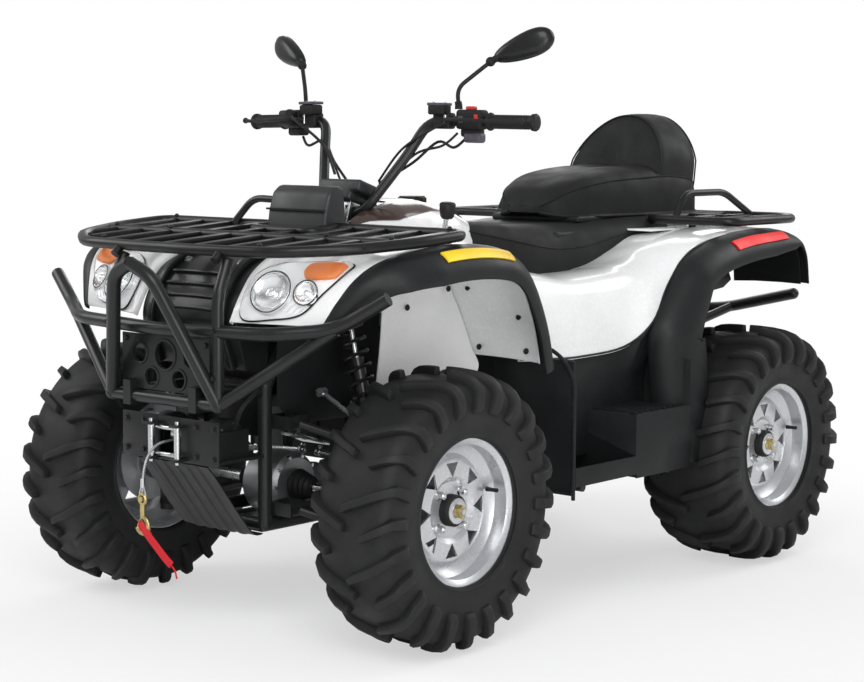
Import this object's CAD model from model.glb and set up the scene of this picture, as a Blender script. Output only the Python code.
import math

import bmesh
import bpy
from mathutils import Matrix, Vector


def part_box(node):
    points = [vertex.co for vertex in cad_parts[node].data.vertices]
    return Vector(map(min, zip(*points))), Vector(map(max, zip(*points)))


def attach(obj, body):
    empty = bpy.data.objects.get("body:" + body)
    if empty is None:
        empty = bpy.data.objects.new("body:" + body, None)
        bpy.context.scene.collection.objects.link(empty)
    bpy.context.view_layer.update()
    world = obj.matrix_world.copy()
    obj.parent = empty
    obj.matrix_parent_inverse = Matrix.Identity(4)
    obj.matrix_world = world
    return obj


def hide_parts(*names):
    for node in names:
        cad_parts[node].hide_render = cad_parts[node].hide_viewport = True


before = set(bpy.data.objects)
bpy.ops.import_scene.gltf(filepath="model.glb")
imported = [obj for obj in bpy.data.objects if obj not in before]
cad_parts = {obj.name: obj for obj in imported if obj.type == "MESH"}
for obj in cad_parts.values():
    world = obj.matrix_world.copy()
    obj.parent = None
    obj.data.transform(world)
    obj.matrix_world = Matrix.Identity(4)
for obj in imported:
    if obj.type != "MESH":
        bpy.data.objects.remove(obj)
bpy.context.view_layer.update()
print("frame loaded")

def addNode(tree, kind, inputs=(), **settings):
    # a node whose inputs are each linked to an output or set to a value
    node = tree.nodes.new("ShaderNode" + kind)
    for name, value in settings.items():
        setattr(node, name, value)
    feed(tree, node, dict(inputs))
    return node


def feed(tree, node, inputs):
    for name, value in inputs.items():
        if isinstance(value, bpy.types.NodeSocket):
            tree.links.new(value, node.inputs[name])
        else:
            node.inputs[name].default_value = value


view = {
    "place": (3.265, -3.930, 1.133),
    "azimuth": 40.35,
    "down": 6.06,
    "roll": 0.35,
    "focal": 2.3253,  # focal length over the picture's width
}


def addCamera():
    turn, fall, lean = (math.radians(view[k]) for k in ("azimuth", "down", "roll"))
    ahead = Vector((-math.sin(turn) * math.cos(fall), math.cos(turn) * math.cos(fall),
                    -math.sin(fall)))
    right = ahead.cross(Vector((0, 0, 1))).normalized()
    up = right.cross(ahead)
    right, up = (right * math.cos(lean) + up * math.sin(lean),
                 up * math.cos(lean) - right * math.sin(lean))
    place = Matrix((right, up, -ahead)).transposed().to_4x4()
    place.translation = Vector(view["place"])
    camera = bpy.data.objects.new("camera", bpy.data.cameras.new("camera"))
    camera.data.lens = view["focal"] * camera.data.sensor_width
    camera.data.clip_end = 100
    camera.matrix_world = place
    bpy.context.scene.collection.objects.link(camera)
    bpy.context.scene.camera = camera


lamps = {
    "world": 0.46,
    "softboxes": [  # place, aimed at, size, power
        ((2.6, -3.6, 3.6), (0, -0.2, 0.5), 2.6, 104),
        ((-3.4, -2.4, 2.9), (0, 0, 0.5), 2.4, 56),
        ((1.8, 3.6, 3.2), (0, 0.3, 0.6), 2.6, 60),
        ((-2.2, 3.0, 2.4), (0, 0.3, 0.6), 2.2, 34),
        ((3.5, -2.6, 1.1), (0.2, -0.4, 0.6), 1.8, 40),
    ],
}


def addLight():
    world = bpy.data.worlds.new("studio")
    bpy.context.scene.world = world
    world.use_nodes = True
    tree = world.node_tree
    path = addNode(tree, "LightPath")
    seen = addNode(tree, "Math", {0: path.outputs["Is Camera Ray"],
                                  1: path.outputs["Is Transmission Ray"]}, operation="MAXIMUM")
    level = addNode(tree, "MapRange", {"To Min": lamps["world"], "To Max": 1.0,
                                       "Value": seen.outputs[0]})
    feed(tree, tree.nodes["Background"], {"Strength": level.outputs[0],
                                          "Color": (1, 1, 1, 1)})
    for number, (place, aim, size, power) in enumerate(lamps["softboxes"]):
        lamp = bpy.data.lights.new(f"softbox{number}", "AREA")
        lamp.energy = power
        lamp.size = size
        box = bpy.data.objects.new(f"softbox{number}", lamp)
        box.location = place
        box.rotation_euler = (Vector(aim) - Vector(place)).to_track_quat("-Z", "Y").to_euler()
        bpy.context.scene.collection.objects.link(box)
    settings = bpy.context.scene.view_settings
    settings.view_transform = "Standard"


addCamera()
addLight()



def newMaterial(name, rough=0.5, metal=0.0):
    material = bpy.data.materials.new(name)
    material.use_nodes = True
    shader = material.node_tree.nodes["Principled BSDF"]
    shader.inputs["Roughness"].default_value = rough
    shader.inputs["Metallic"].default_value = metal
    return material, material.node_tree, shader


def objectPlace(tree):
    return addNode(tree, "TexCoord").outputs["Object"]


def noiseOf(tree, scale, detail=3.0, stretch=None):
    place = objectPlace(tree)
    if stretch:
        place = addNode(tree, "Mapping", {"Scale": stretch, "Vector": place}).outputs["Vector"]
    noise = addNode(tree, "TexNoise", {"Scale": scale, "Detail": detail, "Vector": place})
    return noise.outputs["Fac"]


def cellsOf(tree, scale, feature="F1"):
    cells = addNode(tree, "TexVoronoi", {"Scale": scale, "Vector": objectPlace(tree)},
                    feature=feature)
    return cells.outputs["Distance"]


def waveOf(tree, scale, direction):
    wave = addNode(tree, "TexWave", {"Scale": scale, "Vector": objectPlace(tree)},
                   bands_direction=direction)
    return wave.outputs["Fac"]


def ranged(tree, source, low, high):
    return addNode(tree, "MapRange", {"From Min": 0.3, "From Max": 0.7, "To Min": low,
                                      "To Max": high, "Value": source}).outputs[0]


def blended(tree, factor, first, second):
    mix = tree.nodes.new("ShaderNodeMix")
    mix.data_type = "RGBA"
    tree.links.new(factor, mix.inputs["Factor"])
    for socket, colour in ((mix.inputs["A"], first), (mix.inputs["B"], second)):
        if isinstance(colour, bpy.types.NodeSocket):
            tree.links.new(colour, socket)
        else:
            socket.default_value = (*colour, 1)
    return mix.outputs["Result"]


def bumped(tree, shader, height, strength, distance, below=None):
    bump = addNode(tree, "Bump", {"Strength": strength, "Distance": distance,
                                  "Height": height})
    if below:
        feed(tree, bump, {"Normal": below})
    if shader:
        feed(tree, shader, {"Normal": bump.outputs["Normal"]})
    return bump.outputs["Normal"]


def makeMaterial(name):
    colour, rough, metal, coat, kind, scale, strength, depth = finishes[name]
    material, tree, shader = newMaterial(name, rough, metal)
    spread = 0.10 if sum(colour) > 1.5 else 0.30
    dark = tuple(c * (1 - spread * 0.5) for c in colour)
    light = tuple(min(1, c * (1 + spread)) for c in colour)
    fleck = tuple(min(1, c * 1.25 + 0.004) for c in colour)
    shade = blended(tree, ranged(tree, noiseOf(tree, 5.5, 5.0), 0, 1), dark, light)
    shade = blended(tree, ranged(tree, noiseOf(tree, 130, 2.0), -0.4, 0.45), shade, fleck)
    smear = ranged(tree, noiseOf(tree, 14, 4.0), rough * 0.82, min(1, rough * 1.22))
    feed(tree, shader, {"Base Color": shade, "Roughness": smear, "Coat Weight": coat,
                        "Coat Roughness": 0.08,
                        "Specular IOR Level": 0.30 if max(colour) < 0.02 else 0.50})
    below = None
    if kind == "brushed":
        height = noiseOf(tree, scale, 2.0, (1, 1, 14))
    elif kind == "noise":
        height = noiseOf(tree, scale)
    else:
        height = cellsOf(tree, scale, "F1" if kind == "cells" else "DISTANCE_TO_EDGE")
    if kind == "leather":
        below = bumped(tree, None, noiseOf(tree, scale * 2.2, 2.0), 0.25, depth * 0.6)
    bumped(tree, shader, height, strength, depth, below)
    return material


finishes = {  # colour, roughness, metal, coat, bump kind, scale, strength, depth
    "tyreRubber": ((0.0120, 0.0122, 0.0128), 0.58, 0.0, 0.0, "noise", 420, 0.35, 0.0006),
    "rimSilver": ((0.60, 0.61, 0.63), 0.30, 0.75, 0.25, "noise", 900, 0.06, 0.0002),
    "tubePaint": ((0.0100, 0.0106, 0.0112), 0.34, 0.0, 0.15, "noise", 260, 0.10, 0.0004),
    "rackPaint": ((0.0065, 0.0066, 0.0070), 0.38, 0.0, 0.10, "noise", 900, 0.16, 0.0003),
    "framePaint": ((0.0115, 0.0120, 0.0125), 0.44, 0.0, 0.10, "noise", 300, 0.15, 0.0004),
    "mouldedBlack": ((0.0088, 0.0094, 0.0102), 0.46, 0.0, 0.0, "cells", 950, 0.22, 0.0003),
    "cowlBlack": ((0.0080, 0.0084, 0.0092), 0.32, 0.0, 0.15, "cells", 800, 0.10, 0.0002),
    "podGrey": ((0.0180, 0.0190, 0.0205), 0.46, 0.0, 0.0, "cells", 900, 0.22, 0.0003),
    "glossWhite": ((0.86, 0.865, 0.87), 0.20, 0.0, 0.55, "noise", 34, 0.05, 0.0006),
    "linerWhite": ((0.94, 0.94, 0.935), 0.42, 0.0, 0.0, "cells", 700, 0.16, 0.0003),
    "seatVinyl": ((0.0080, 0.0084, 0.0090), 0.62, 0.0, 0.0, "leather", 520, 0.55, 0.0006),
    "grip": ((0.0095, 0.0095, 0.0100), 0.60, 0.0, 0.0, "cells", 700, 0.30, 0.0004),
    "switchRed": ((0.48, 0.025, 0.015), 0.34, 0.0, 0.15, "noise", 800, 0.08, 0.0002),
    "switchGrey": ((0.060, 0.052, 0.070), 0.42, 0.0, 0.0, "cells", 900, 0.20, 0.0003),
    "tankBrown": ((0.055, 0.034, 0.028), 0.16, 0.0, 0.60, "noise", 40, 0.04, 0.0005),
    "castAlloy": ((0.40, 0.41, 0.42), 0.42, 0.85, 0.0, "noise", 320, 0.35, 0.0006),
    "darkCast": ((0.075, 0.078, 0.082), 0.48, 0.55, 0.0, "noise", 300, 0.40, 0.0006),
    "machined": ((0.58, 0.59, 0.60), 0.26, 1.0, 0.0, "brushed", 300, 0.12, 0.0002),
    "chrome": ((0.92, 0.93, 0.94), 0.20, 1.0, 0.0, "noise", 60, 0.03, 0.0003),
    "zincYellow": ((0.50, 0.40, 0.18), 0.34, 0.9, 0.0, "noise", 500, 0.15, 0.0003),
    "springBlack": ((0.0075, 0.0075, 0.0080), 0.30, 0.0, 0.35, "noise", 300, 0.08, 0.0003),
    "bootRubber": ((0.0100, 0.0100, 0.0105), 0.58, 0.0, 0.0, "noise", 400, 0.25, 0.0004),
    "exhaustSteel": ((0.36, 0.34, 0.32), 0.36, 1.0, 0.0, "brushed", 220, 0.20, 0.0003),
    "amberLens": ((0.92, 0.19, 0.004), 0.30, 0.0, 0.05, "prism", 240, 0.50, 0.0008),
    "redLens": ((0.58, 0.006, 0.008), 0.22, 0.0, 0.10, "prism", 240, 0.50, 0.0008),
    "yellowLens": ((0.90, 0.54, 0.006), 0.32, 0.0, 0.05, "prism", 260, 0.45, 0.0008),
    "redReflector": ((0.82, 0.002, 0.003), 0.46, 0.0, 0.0, "prism", 260, 0.20, 0.0004),
    "mirrorGlass": ((0.86, 0.87, 0.88), 0.03, 1.0, 0.0, "noise", 8, 0.01, 0.0002),
    "bulbGlass": ((0.93, 0.935, 0.94), 0.22, 0.15, 0.2, "noise", 60, 0.05, 0.0003),
}

materials = {name: makeMaterial(name) for name in finishes}


def makeLampCover():
    material, tree, shader = newMaterial("lampCover")
    feed(tree, shader, {"Base Color": (0.93, 0.95, 0.96, 1), "Transmission Weight": 0.95,
                        "IOR": 1.2,
                        "Roughness": ranged(tree, noiseOf(tree, 30, 2.0), 0.02, 0.06)})
    bumped(tree, shader, noiseOf(tree, 60, 2.0), 0.04, 0.0003)
    return material


def makeWovenRed():
    material, tree, shader = newMaterial("redWebbing", 0.7)
    weave = addNode(tree, "Math", operation="MULTIPLY")
    feed(tree, weave, {k: waveOf(tree, 260, way) for k, way in enumerate(("X", "Z"))})
    both = weave.outputs[0]
    shade = blended(tree, both, (0.50, 0.003, 0.010), (0.86, 0.010, 0.028))
    feed(tree, shader, {"Base Color": shade})
    bumped(tree, shader, both, 0.5, 0.0006)
    return material


def makeWireRope():
    material, tree, shader = newMaterial("wireRope", 0.32, 0.9)
    lay = waveOf(tree, 95, "DIAGONAL")
    shade = blended(tree, lay, (0.22, 0.22, 0.23), (0.68, 0.69, 0.70))
    feed(tree, shader, {"Base Color": shade})
    bumped(tree, shader, lay, 0.8, 0.0012)
    return material


def makeFloor():
    # paper that keeps the shadow near the wheels and fades to plain white farther out
    material, tree, shader = newMaterial("floorPaper", 0.9)
    shade = blended(tree, ranged(tree, noiseOf(tree, 1.5), 0, 1),
                    (0.93, 0.93, 0.93), (0.96, 0.96, 0.96))
    feed(tree, shader, {"Base Color": shade, "Specular IOR Level": 0.1})
    glow = addNode(tree, "Emission", {"Strength": 1.0})
    reach = addNode(tree, "VectorMath", {0: objectPlace(tree)}, operation="LENGTH")
    fade = addNode(tree, "MapRange", {"From Min": 0.9, "From Max": 2.6, "To Min": 0.55,
                                      "To Max": 1.0, "Value": reach.outputs["Value"]},
                   interpolation_type="SMOOTHSTEP")
    mix = addNode(tree, "MixShader", {0: fade.outputs[0], 1: shader.outputs[0],
                                      2: glow.outputs[0]})
    path = addNode(tree, "LightPath")
    seen = addNode(tree, "MixShader", {0: path.outputs["Is Camera Ray"],
                                       1: shader.outputs[0], 2: mix.outputs[0]})
    feed(tree, tree.nodes["Material Output"], {"Surface": seen.outputs[0]})
    return material


materials["lampCover"] = makeLampCover()
materials["redWebbing"] = makeWovenRed()
materials["wireRope"] = makeWireRope()
materials["floorPaper"] = makeFloor()
print("materials made")


def faced(bm):
    # turns every face outward
    bmesh.ops.recalc_face_normals(bm, faces=bm.faces)


def linked(name, data):
    made = bpy.data.objects.new(name, data)
    bpy.context.scene.collection.objects.link(made)
    return made


def objectOf(bm, name):
    # a new object in the scene made of a finished bmesh
    mesh = bpy.data.meshes.new(name)
    bm.to_mesh(mesh)
    bm.free()
    return linked(name, mesh)


def keep(bm, name, material, body="chassis", stands=(), smooth=40, recalc=True):
    if recalc:
        faced(bm)
    piece = objectOf(bm, name)
    mesh = piece.data
    mesh.materials.append(materials[material])
    mesh.shade_smooth()
    mesh.set_sharp_from_angle(angle=math.radians(smooth))
    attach(piece, body)
    if stands:
        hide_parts(*stands)
    return piece


def keepAll(node, pieces, **settings):
    # several pieces that stand for the same node
    for name, (bm, material) in pieces.items():
        keep(bm, name, material, stands=(node,), **settings)


def merged(bm, distance=0.00002):
    bmesh.ops.remove_doubles(bm, verts=bm.verts, dist=distance)


def softEdges(bm, width, segments=2, angle=35):
    sharp = [e for e in bm.edges
             if e.is_manifold and e.calc_face_angle(0) > math.radians(angle)]
    bmesh.ops.bevel(bm, geom=sharp, offset=width, offset_type="OFFSET", segments=segments,
                    profile=0.5, affect="EDGES", material=-1, clamp_overlap=True)
    return bm


def addBox(bm, low, high):
    low, high = Vector(low), Vector(high)
    place = Matrix.Translation((low + high) / 2) @ Matrix.Diagonal((*(high - low), 1))
    return bmesh.ops.create_cube(bm, size=1, matrix=place)["verts"]


def roundBox(low, high, width=0.004, segments=3):
    bm = bmesh.new()
    addBox(bm, low, high)
    return softEdges(bm, width, segments)


def addRod(bm, start, end, r1, r2=None, sides=24):
    start, end = Vector(start), Vector(end)
    along = end - start
    turn = along.to_track_quat("Z", "Y").to_matrix().to_4x4()
    return bmesh.ops.create_cone(
        bm, cap_ends=True, cap_tris=False, segments=sides, radius1=r1,
        radius2=r1 if r2 is None else r2, depth=along.length,
        matrix=Matrix.Translation((start + end) / 2) @ turn)["verts"]


def addSpun(bm, outline, centre, axis, steps=48, closed=True):
    # outline is (distance along the axis, radius) and becomes one turned ring
    axis = Vector(axis).normalized()
    side = axis.orthogonal().normalized()
    centre = Vector(centre)
    ring = [bm.verts.new(centre + axis * along + side * radius) for along, radius in outline]
    edges = [bm.edges.new((ring[i], ring[i + 1])) for i in range(len(ring) - 1)]
    if closed:
        edges.append(bm.edges.new((ring[-1], ring[0])))
    bmesh.ops.spin(bm, geom=ring + edges, cent=centre, axis=axis, steps=steps,
                   angle=math.tau, use_merge=True)


def bothEnds(*steps):
    # a turned outline with the same steps at either end
    return [(-a, r) for a, r in steps] + [(a, r) for a, r in steps[::-1]]


def addTurned(bm, outline, centre, axis, steps=32):
    # an open outline whose ends lie on the axis is closed with caps
    before = set(bm.edges)
    addSpun(bm, outline, centre, axis, steps, closed=False)
    loose = [e for e in bm.edges if e not in before and e.is_boundary]
    if loose:
        bmesh.ops.holes_fill(bm, edges=loose, sides=0)


def mirrored(bm):
    bmesh.ops.mirror(bm, geom=bm.verts[:] + bm.edges[:] + bm.faces[:], axis="X",
                     merge_dist=0.00001)
    faced(bm)
    return bm


def rounded(points, bend, steps=6):
    # a path with each corner turned into an arc
    points = [Vector(p) for p in points]
    path = [points[0]]
    for before, here, after in zip(points, points[1:], points[2:]):
        first, second = (before - here), (after - here)
        reach = min(bend, first.length * 0.48, second.length * 0.48)
        a, b = here + first.normalized() * reach, here + second.normalized() * reach
        for i in range(steps + 1):
            t = i / steps
            path.append(a * (1 - t) ** 2 + here * (2 * t * (1 - t)) + b * t * t)
    path.append(points[-1])
    return path


def roundCurve(name, path, radius, resolution):
    # a curve with a round section and closed ends through every point of the path
    curve = bpy.data.curves.new(name, "CURVE")
    curve.dimensions = "3D"
    curve.bevel_depth = radius
    curve.bevel_resolution = resolution
    curve.use_fill_caps = True
    line = curve.splines.new("POLY")
    line.points.add(len(path) - 1)
    for spot, point in zip(line.points, path):
        spot.co = (*point, 1)
    return linked(name, curve)


def evaluated(holder):
    graph = bpy.context.evaluated_depsgraph_get()
    return bpy.data.meshes.new_from_object(holder.evaluated_get(graph))


def addTube(bm, points, radius, bend=0.04, sides=16):
    # a bent tube with closed ends
    path = rounded(points, bend) if bend else [Vector(p) for p in points]
    holder = roundCurve("tubePath", path, radius, max(1, sides // 4 - 1))
    mesh = evaluated(holder)
    bm.from_mesh(mesh)
    bpy.data.curves.remove(holder.data)
    bpy.data.meshes.remove(mesh)


def addHose(bm, points, radius, steps, sides=12):
    # a thin tube along a smooth curve through the points
    addTube(bm, [pathPoint(points, i / steps) for i in range(steps + 1)], radius, 0, sides)


def addSkin(bm, rings):
    # faces from each closed ring to the next
    count = len(rings[0])
    for first, second in zip(rings, rings[1:]):
        for k in range(count):
            bm.faces.new((first[k], first[(k + 1) % count], second[(k + 1) % count],
                          second[k]))


def addFan(bm, ring, spot):
    # closes a ring with a point in its middle
    hub = bm.verts.new(spot)
    for k in range(len(ring)):
        bm.faces.new((ring[k], ring[(k + 1) % len(ring)], hub))


def ringSpots(centre, reach, count, start=0.0):
    # evenly spaced places round a centre, in the plane across X
    turns = [start + math.tau * k / count for k in range(count)]
    return [Vector(centre) + Vector((0, reach * math.cos(a), reach * math.sin(a)))
            for a in turns]


def addBall(bm, spot, radius, around=20, high=12):
    bmesh.ops.create_uvsphere(bm, u_segments=around, v_segments=high, radius=radius,
                              matrix=Matrix.Translation(spot))


def sided(spot, side):
    # the same spot on the left or the right
    return Vector((spot[0] * side, spot[1], spot[2]))


def overTo(bm, side):
    # turns a part made for the left over to the right
    if side < 0:
        for vert in bm.verts:
            vert.co.x *= -1
        bmesh.ops.reverse_faces(bm, faces=bm.faces)


def addProfile(bm, outline, low, high, axis="X"):
    # a flat outline made solid from low to high along an axis
    spots = {"X": lambda p, d: (d, p[0], p[1]), "Y": lambda p, d: (p[0], d, p[1]),
             "Z": lambda p, d: (p[0], p[1], d)}[axis]
    ring = [bm.verts.new(spots(p, low)) for p in outline]
    face = bm.faces.new(ring)
    made = bmesh.ops.extrude_face_region(bm, geom=[face])
    moved = [g for g in made["geom"] if isinstance(g, bmesh.types.BMVert)]
    shift = Vector(spots((0, 0), high)) - Vector(spots((0, 0), low))
    bmesh.ops.translate(bm, verts=moved, vec=shift)
    return ring + moved


def copyOf(*nodes):
    # the merged mesh of some CAD nodes, ready to be softened
    bm = bmesh.new()
    for node in nodes:
        bm.from_mesh(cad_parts[node].data)
    merged(bm, 0.00003)
    bmesh.ops.dissolve_limit(bm, angle_limit=math.radians(1.5), verts=bm.verts,
                             edges=bm.edges)
    return bm


def pathPoint(points, t):
    # a point part way along a smooth curve through the points
    spots = [Vector(p) for p in points]
    at = min(max(t, 0), 0.99999) * (len(spots) - 1)
    i = int(at)
    t = at - i
    p = [spots[max(0, min(len(spots) - 1, i + k))] for k in (-1, 0, 1, 2)]
    return 0.5 * (2 * p[1] + (p[2] - p[0]) * t + (2 * p[0] - 5 * p[1] + 4 * p[2] - p[3]) * t ** 2
                  + (3 * p[1] - p[0] - 3 * p[2] + p[3]) * t ** 3)


def addFloor():
    bm = bmesh.new()
    bmesh.ops.create_grid(bm, x_segments=1, y_segments=1, size=30)
    floor = objectOf(bm, "floor")
    floor.data.materials.append(materials["floorPaper"])


addFloor()


# ---- winch rope with its hook and pull strap

rope = {
    "radius": 0.003,
    "route": [(0, -0.925, 0.450), (0, -0.976, 0.446), (0, -0.996, 0.445),
              (-0.003, -1.014, 0.438), (-0.008, -1.026, 0.424), (-0.013, -1.033, 0.404),
              (-0.017, -1.036, 0.380), (-0.019, -1.037, 0.356), (-0.020, -1.037, 0.336)],
    "steps": 27,
    "eye": (-0.020, -1.037, 0.3217),
    "hook": (-0.020, -1.037, 0.2637),
    "strap": [(-0.026, -1.0405, 0.268), (0.000, -1.0425, 0.247), (0.030, -1.043, 0.224),
              (0.055, -1.041, 0.202), (0.072, -1.038, 0.188)],
    "tail": [(0.066, -1.038, 0.192), (0.080, -1.036, 0.178), (0.088, -1.037, 0.160)],
}


def addRibbon(bm, points, wide, thick, face, steps=24, taper=1.0):
    # a flat strap that follows points, with its flat side toward face
    face = Vector(face).normalized()
    rings = []
    for i in range(steps + 1):
        t = i / steps
        here = pathPoint(points, t)
        along = (pathPoint(points, min(1, t + 0.02)) - pathPoint(points, max(0, t - 0.02)))
        side = along.cross(face).normalized() * wide * (1 - (1 - taper) * t) / 2
        up = side.cross(along).normalized() * thick / 2
        rings.append([bm.verts.new(here + side * a + up * b)
                      for a, b in ((1, 0.6), (0.9, 1), (-0.9, 1), (-1, 0.6),
                                   (-1, -0.6), (-0.9, -1), (0.9, -1), (1, -0.6))])
    addSkin(bm, rings)
    bm.faces.new(rings[0])
    bm.faces.new(rings[-1][::-1])


def addRope():
    steps = rope["steps"]
    spots = [pathPoint(rope["route"], i / steps) for i in range(steps)]
    spots.append(Vector(rope["route"][-1]))
    piece = roundCurve("winchRope", spots, rope["radius"], 3)
    piece.data.materials.append(materials["wireRope"])
    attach(piece, "chassis")
    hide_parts("winch_rope")
    length = sum((b - a).length for a, b in zip(spots, spots[1:]))
    return piece, round(length, 3)


def addHook():
    bm = bmesh.new()
    eye, ring = Vector(rope["eye"]), Vector(rope["hook"])
    section = [(0.0045 * math.sin(a), 0.0105 + 0.0035 * math.cos(a))
               for a in (math.tau * k / 10 for k in range(10))]
    addSpun(bm, section, eye, (0, 1, 0), 28)
    addRod(bm, eye - Vector((0, 0, 0.011)), ring + Vector((0, 0, 0.017)), 0.0065, 0.0055, 16)
    bend = [ring + Vector((0.0185 * math.cos(a), 0, 0.0185 * math.sin(a)))
            for a in (math.radians(90 - 25 * k) for k in range(11))]
    addTube(bm, bend, 0.0052, 0, 16)
    addRod(bm, ring + Vector((-0.004, 0, 0.018)), ring + Vector((-0.0165, 0, -0.004)), 0.0022,
           sides=10)
    addRod(bm, eye + Vector((0, -0.006, 0)), eye + Vector((0, 0.006, 0)), 0.0055, sides=16)
    return keep(bm, "winchHook", "zincYellow", stands=("winch_hook",), recalc=False)


def addThimble():
    # the rope's end turned back round a thimble, with its pressed sleeve
    bm = bmesh.new()
    eye = Vector(rope["eye"])
    loop = [(0.001, 0.034), (0.010, 0.012), (0.0085, -0.0075), (0, -0.0125),
            (-0.0085, -0.0075), (-0.010, 0.012), (-0.001, 0.034)]
    addTube(bm, [eye + Vector((x, 0, z)) for x, z in loop], 0.0021, 0.008, 12)
    addRod(bm, eye + Vector((0, 0, 0.026)), eye + Vector((0.0005, 0, 0.046)), 0.0052, sides=16)
    return keep(bm, "ropeThimble", "machined", stands=("winch_hook",), recalc=False)


def addStrap():
    bm = bmesh.new()
    addRibbon(bm, rope["strap"], 0.018, 0.0022, (0, -1, 0.15))
    addRibbon(bm, [(-0.026, -1.0405, 0.268), (-0.030, -1.036, 0.262), (-0.022, -1.0325, 0.256),
                   (0.000, -1.0335, 0.243)], 0.014, 0.0022, (0, -1, 0.1), 12)
    addRibbon(bm, rope["tail"], 0.004, 0.0018, (0, -1, 0.2), 12)
    return keep(bm, "pullStrap", "redWebbing", stands=("hook_strap",))


def addWinchLine():
    piece, length = addRope()
    ends = [addHook(), addThimble()]
    addStrap()


addWinchLine()
print("rope made")

# ---- wheels

tyre = {
    "radius": 0.310,
    "lug": 0.0185,
    "pairs": 12,
    "sweep": 0.235,  # how far a lug turns from the middle to the shoulder, in radians
    "width": 0.021,
    "front": {"half": 0.1025, "seat": 0.086},
    "rear": {"half": 0.125, "seat": 0.108},
}


def carcassLine(half):
    r = tyre["radius"] - tyre["lug"]
    return [(0, r), (half * 0.40, r - 0.001), (half * 0.72, r - 0.006),
            (half * 0.90, r - 0.017), (half * 0.985, r - 0.036), (half, r - 0.060),
            (half * 0.99, r - 0.085), (half * 0.95, r - 0.110)]


def carcassSpot(half, t):
    line = [Vector((x, 0, r)) for x, r in carcassLine(half)]
    here, ahead = pathPoint(line, t), pathPoint(line, min(1, t + 0.01))
    behind = pathPoint(line, max(0, t - 0.01))
    along = (ahead - behind).normalized()
    return here, Vector((-along.z, 0, along.x))


def joined(bm, part):
    # adds one bmesh to another and frees it
    mesh = bpy.data.meshes.new("part")
    part.to_mesh(mesh)
    part.free()
    bm.from_mesh(mesh)
    bpy.data.meshes.remove(mesh)


def addLug(bm, half, side, turn, long):
    # a paddle that runs from the middle out over the shoulder
    start = -0.02 if long else 0.17
    lug = bmesh.new()
    bmesh.ops.create_cube(lug, size=1)
    lengthwise = [e for e in lug.edges if abs(e.verts[0].co.x - e.verts[1].co.x) > 0.5]
    bmesh.ops.subdivide_edges(lug, edges=lengthwise, cuts=8, use_grid_fill=True)
    for vert in lug.verts:
        u, across, up = vert.co.x + 0.5, vert.co.y * 2, vert.co.z + 0.5
        t = start + (0.80 - start) * u
        spot, normal = carcassSpot(half, max(0, t))
        x = spot.x + min(0, t) * half
        ease = min(1, max(0, t) / 0.52)
        angle = turn + tyre["sweep"] * (ease - 0.22 * ease * ease) - 0.05 * max(0, t - 0.52)
        height = tyre["lug"] * (1 - 0.25 * max(0, (t - 0.40)) / 0.40) - 0.0005
        height *= 1 - 0.55 * max(0, (u - 0.93) / 0.07)
        wide = tyre["width"] * (0.78 + 0.38 * u) * (1.28 if up < 0.5 else 0.92)
        r = spot.z + (normal.z * height if up > 0.5 else -0.004 * normal.z)
        x += normal.x * height if up > 0.5 else -0.004 * normal.x
        angle += across * wide * 0.5 / spot.z
        vert.co = (side * x, -r * math.cos(angle), r * math.sin(angle))
    faced(lug)
    softEdges(lug, 0.0022, 2, 40)
    joined(bm, lug)


def addTyre(end, side, body):
    size = tyre[end]
    half, seat = size["half"], size["seat"]
    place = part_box(f"{end}_{side}_tyre")
    centre = tuple((place[0] + place[1]) / 2)
    line = [(p.x, p.z) for p in (pathPoint([Vector((x, 0, r)) for x, r in carcassLine(half)],
                                           i / 20) for i in range(21))]
    low = line[-1]
    wall = [(low[0] - 0.001, low[1] - 0.010), (low[0] + 0.0012, low[1] - 0.013),
            (low[0] - 0.001, low[1] - 0.018), (seat + 0.007, 0.172), (seat + 0.004, 0.166),
            (seat - 0.006, 0.1535), (seat - 0.016, 0.1535)]
    inner = [(seat - 0.014, 0.170), (half * 0.90, 0.205), (half * 0.93, 0.240),
             (half * 0.80, 0.272), (half * 0.4, 0.281), (0, 0.282)]
    outside = line + wall
    outline = ([(-x, r) for x, r in reversed(outside)] + outside[1:]
               + inner + [(-x, r) for x, r in reversed(inner[:-1])])
    bm = bmesh.new()
    addSpun(bm, outline, centre, (1, 0, 0), steps=96)
    keep(bm, f"{end}_{side}_tyre_carcass", "tyreRubber", body, [f"{end}_{side}_tyre"], smooth=50)
    bm = bmesh.new()
    pitch = 2 * math.pi / tyre["pairs"]
    first = bmesh.new()
    for way, shift in ((-1, 0.0), (1, pitch * 0.25)):
        addLug(first, half, way, shift, True)
        addLug(first, half, way, shift + pitch / 2, False)
    single = bpy.data.meshes.new("lugs")
    first.to_mesh(single)
    first.free()
    for number in range(tyre["pairs"]):
        before = len(bm.verts)
        bm.from_mesh(single)
        bm.verts.ensure_lookup_table()
        turned = Matrix.Translation(centre) @ Matrix.Rotation(pitch * number, 4, "X")
        bmesh.ops.transform(bm, matrix=turned, verts=bm.verts[before:])
    bpy.data.meshes.remove(single)
    keep(bm, f"{end}_{side}_tyre_lugs", "tyreRubber", body, smooth=38)


def addRim(end, side, body):
    sign = 1 if side == "left" else -1
    node = f"{end}_{side}_rim"
    bm = copyOf(node)
    faced(bm)
    softEdges(bm, 0.0012, 2, 30)
    keep(bm, f"{end}_{side}_rim_silver", "rimSilver", body, [node], smooth=35)
    addHub(end, side, body, sign)


hub = {
    "front": {"x": 0.480, "y": -0.635, "face": 0.038},
    "rear": {"x": 0.469, "y": 0.635, "face": 0.060},
    "height": 0.310,
    "nutCircle": 0.052,
}


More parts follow.
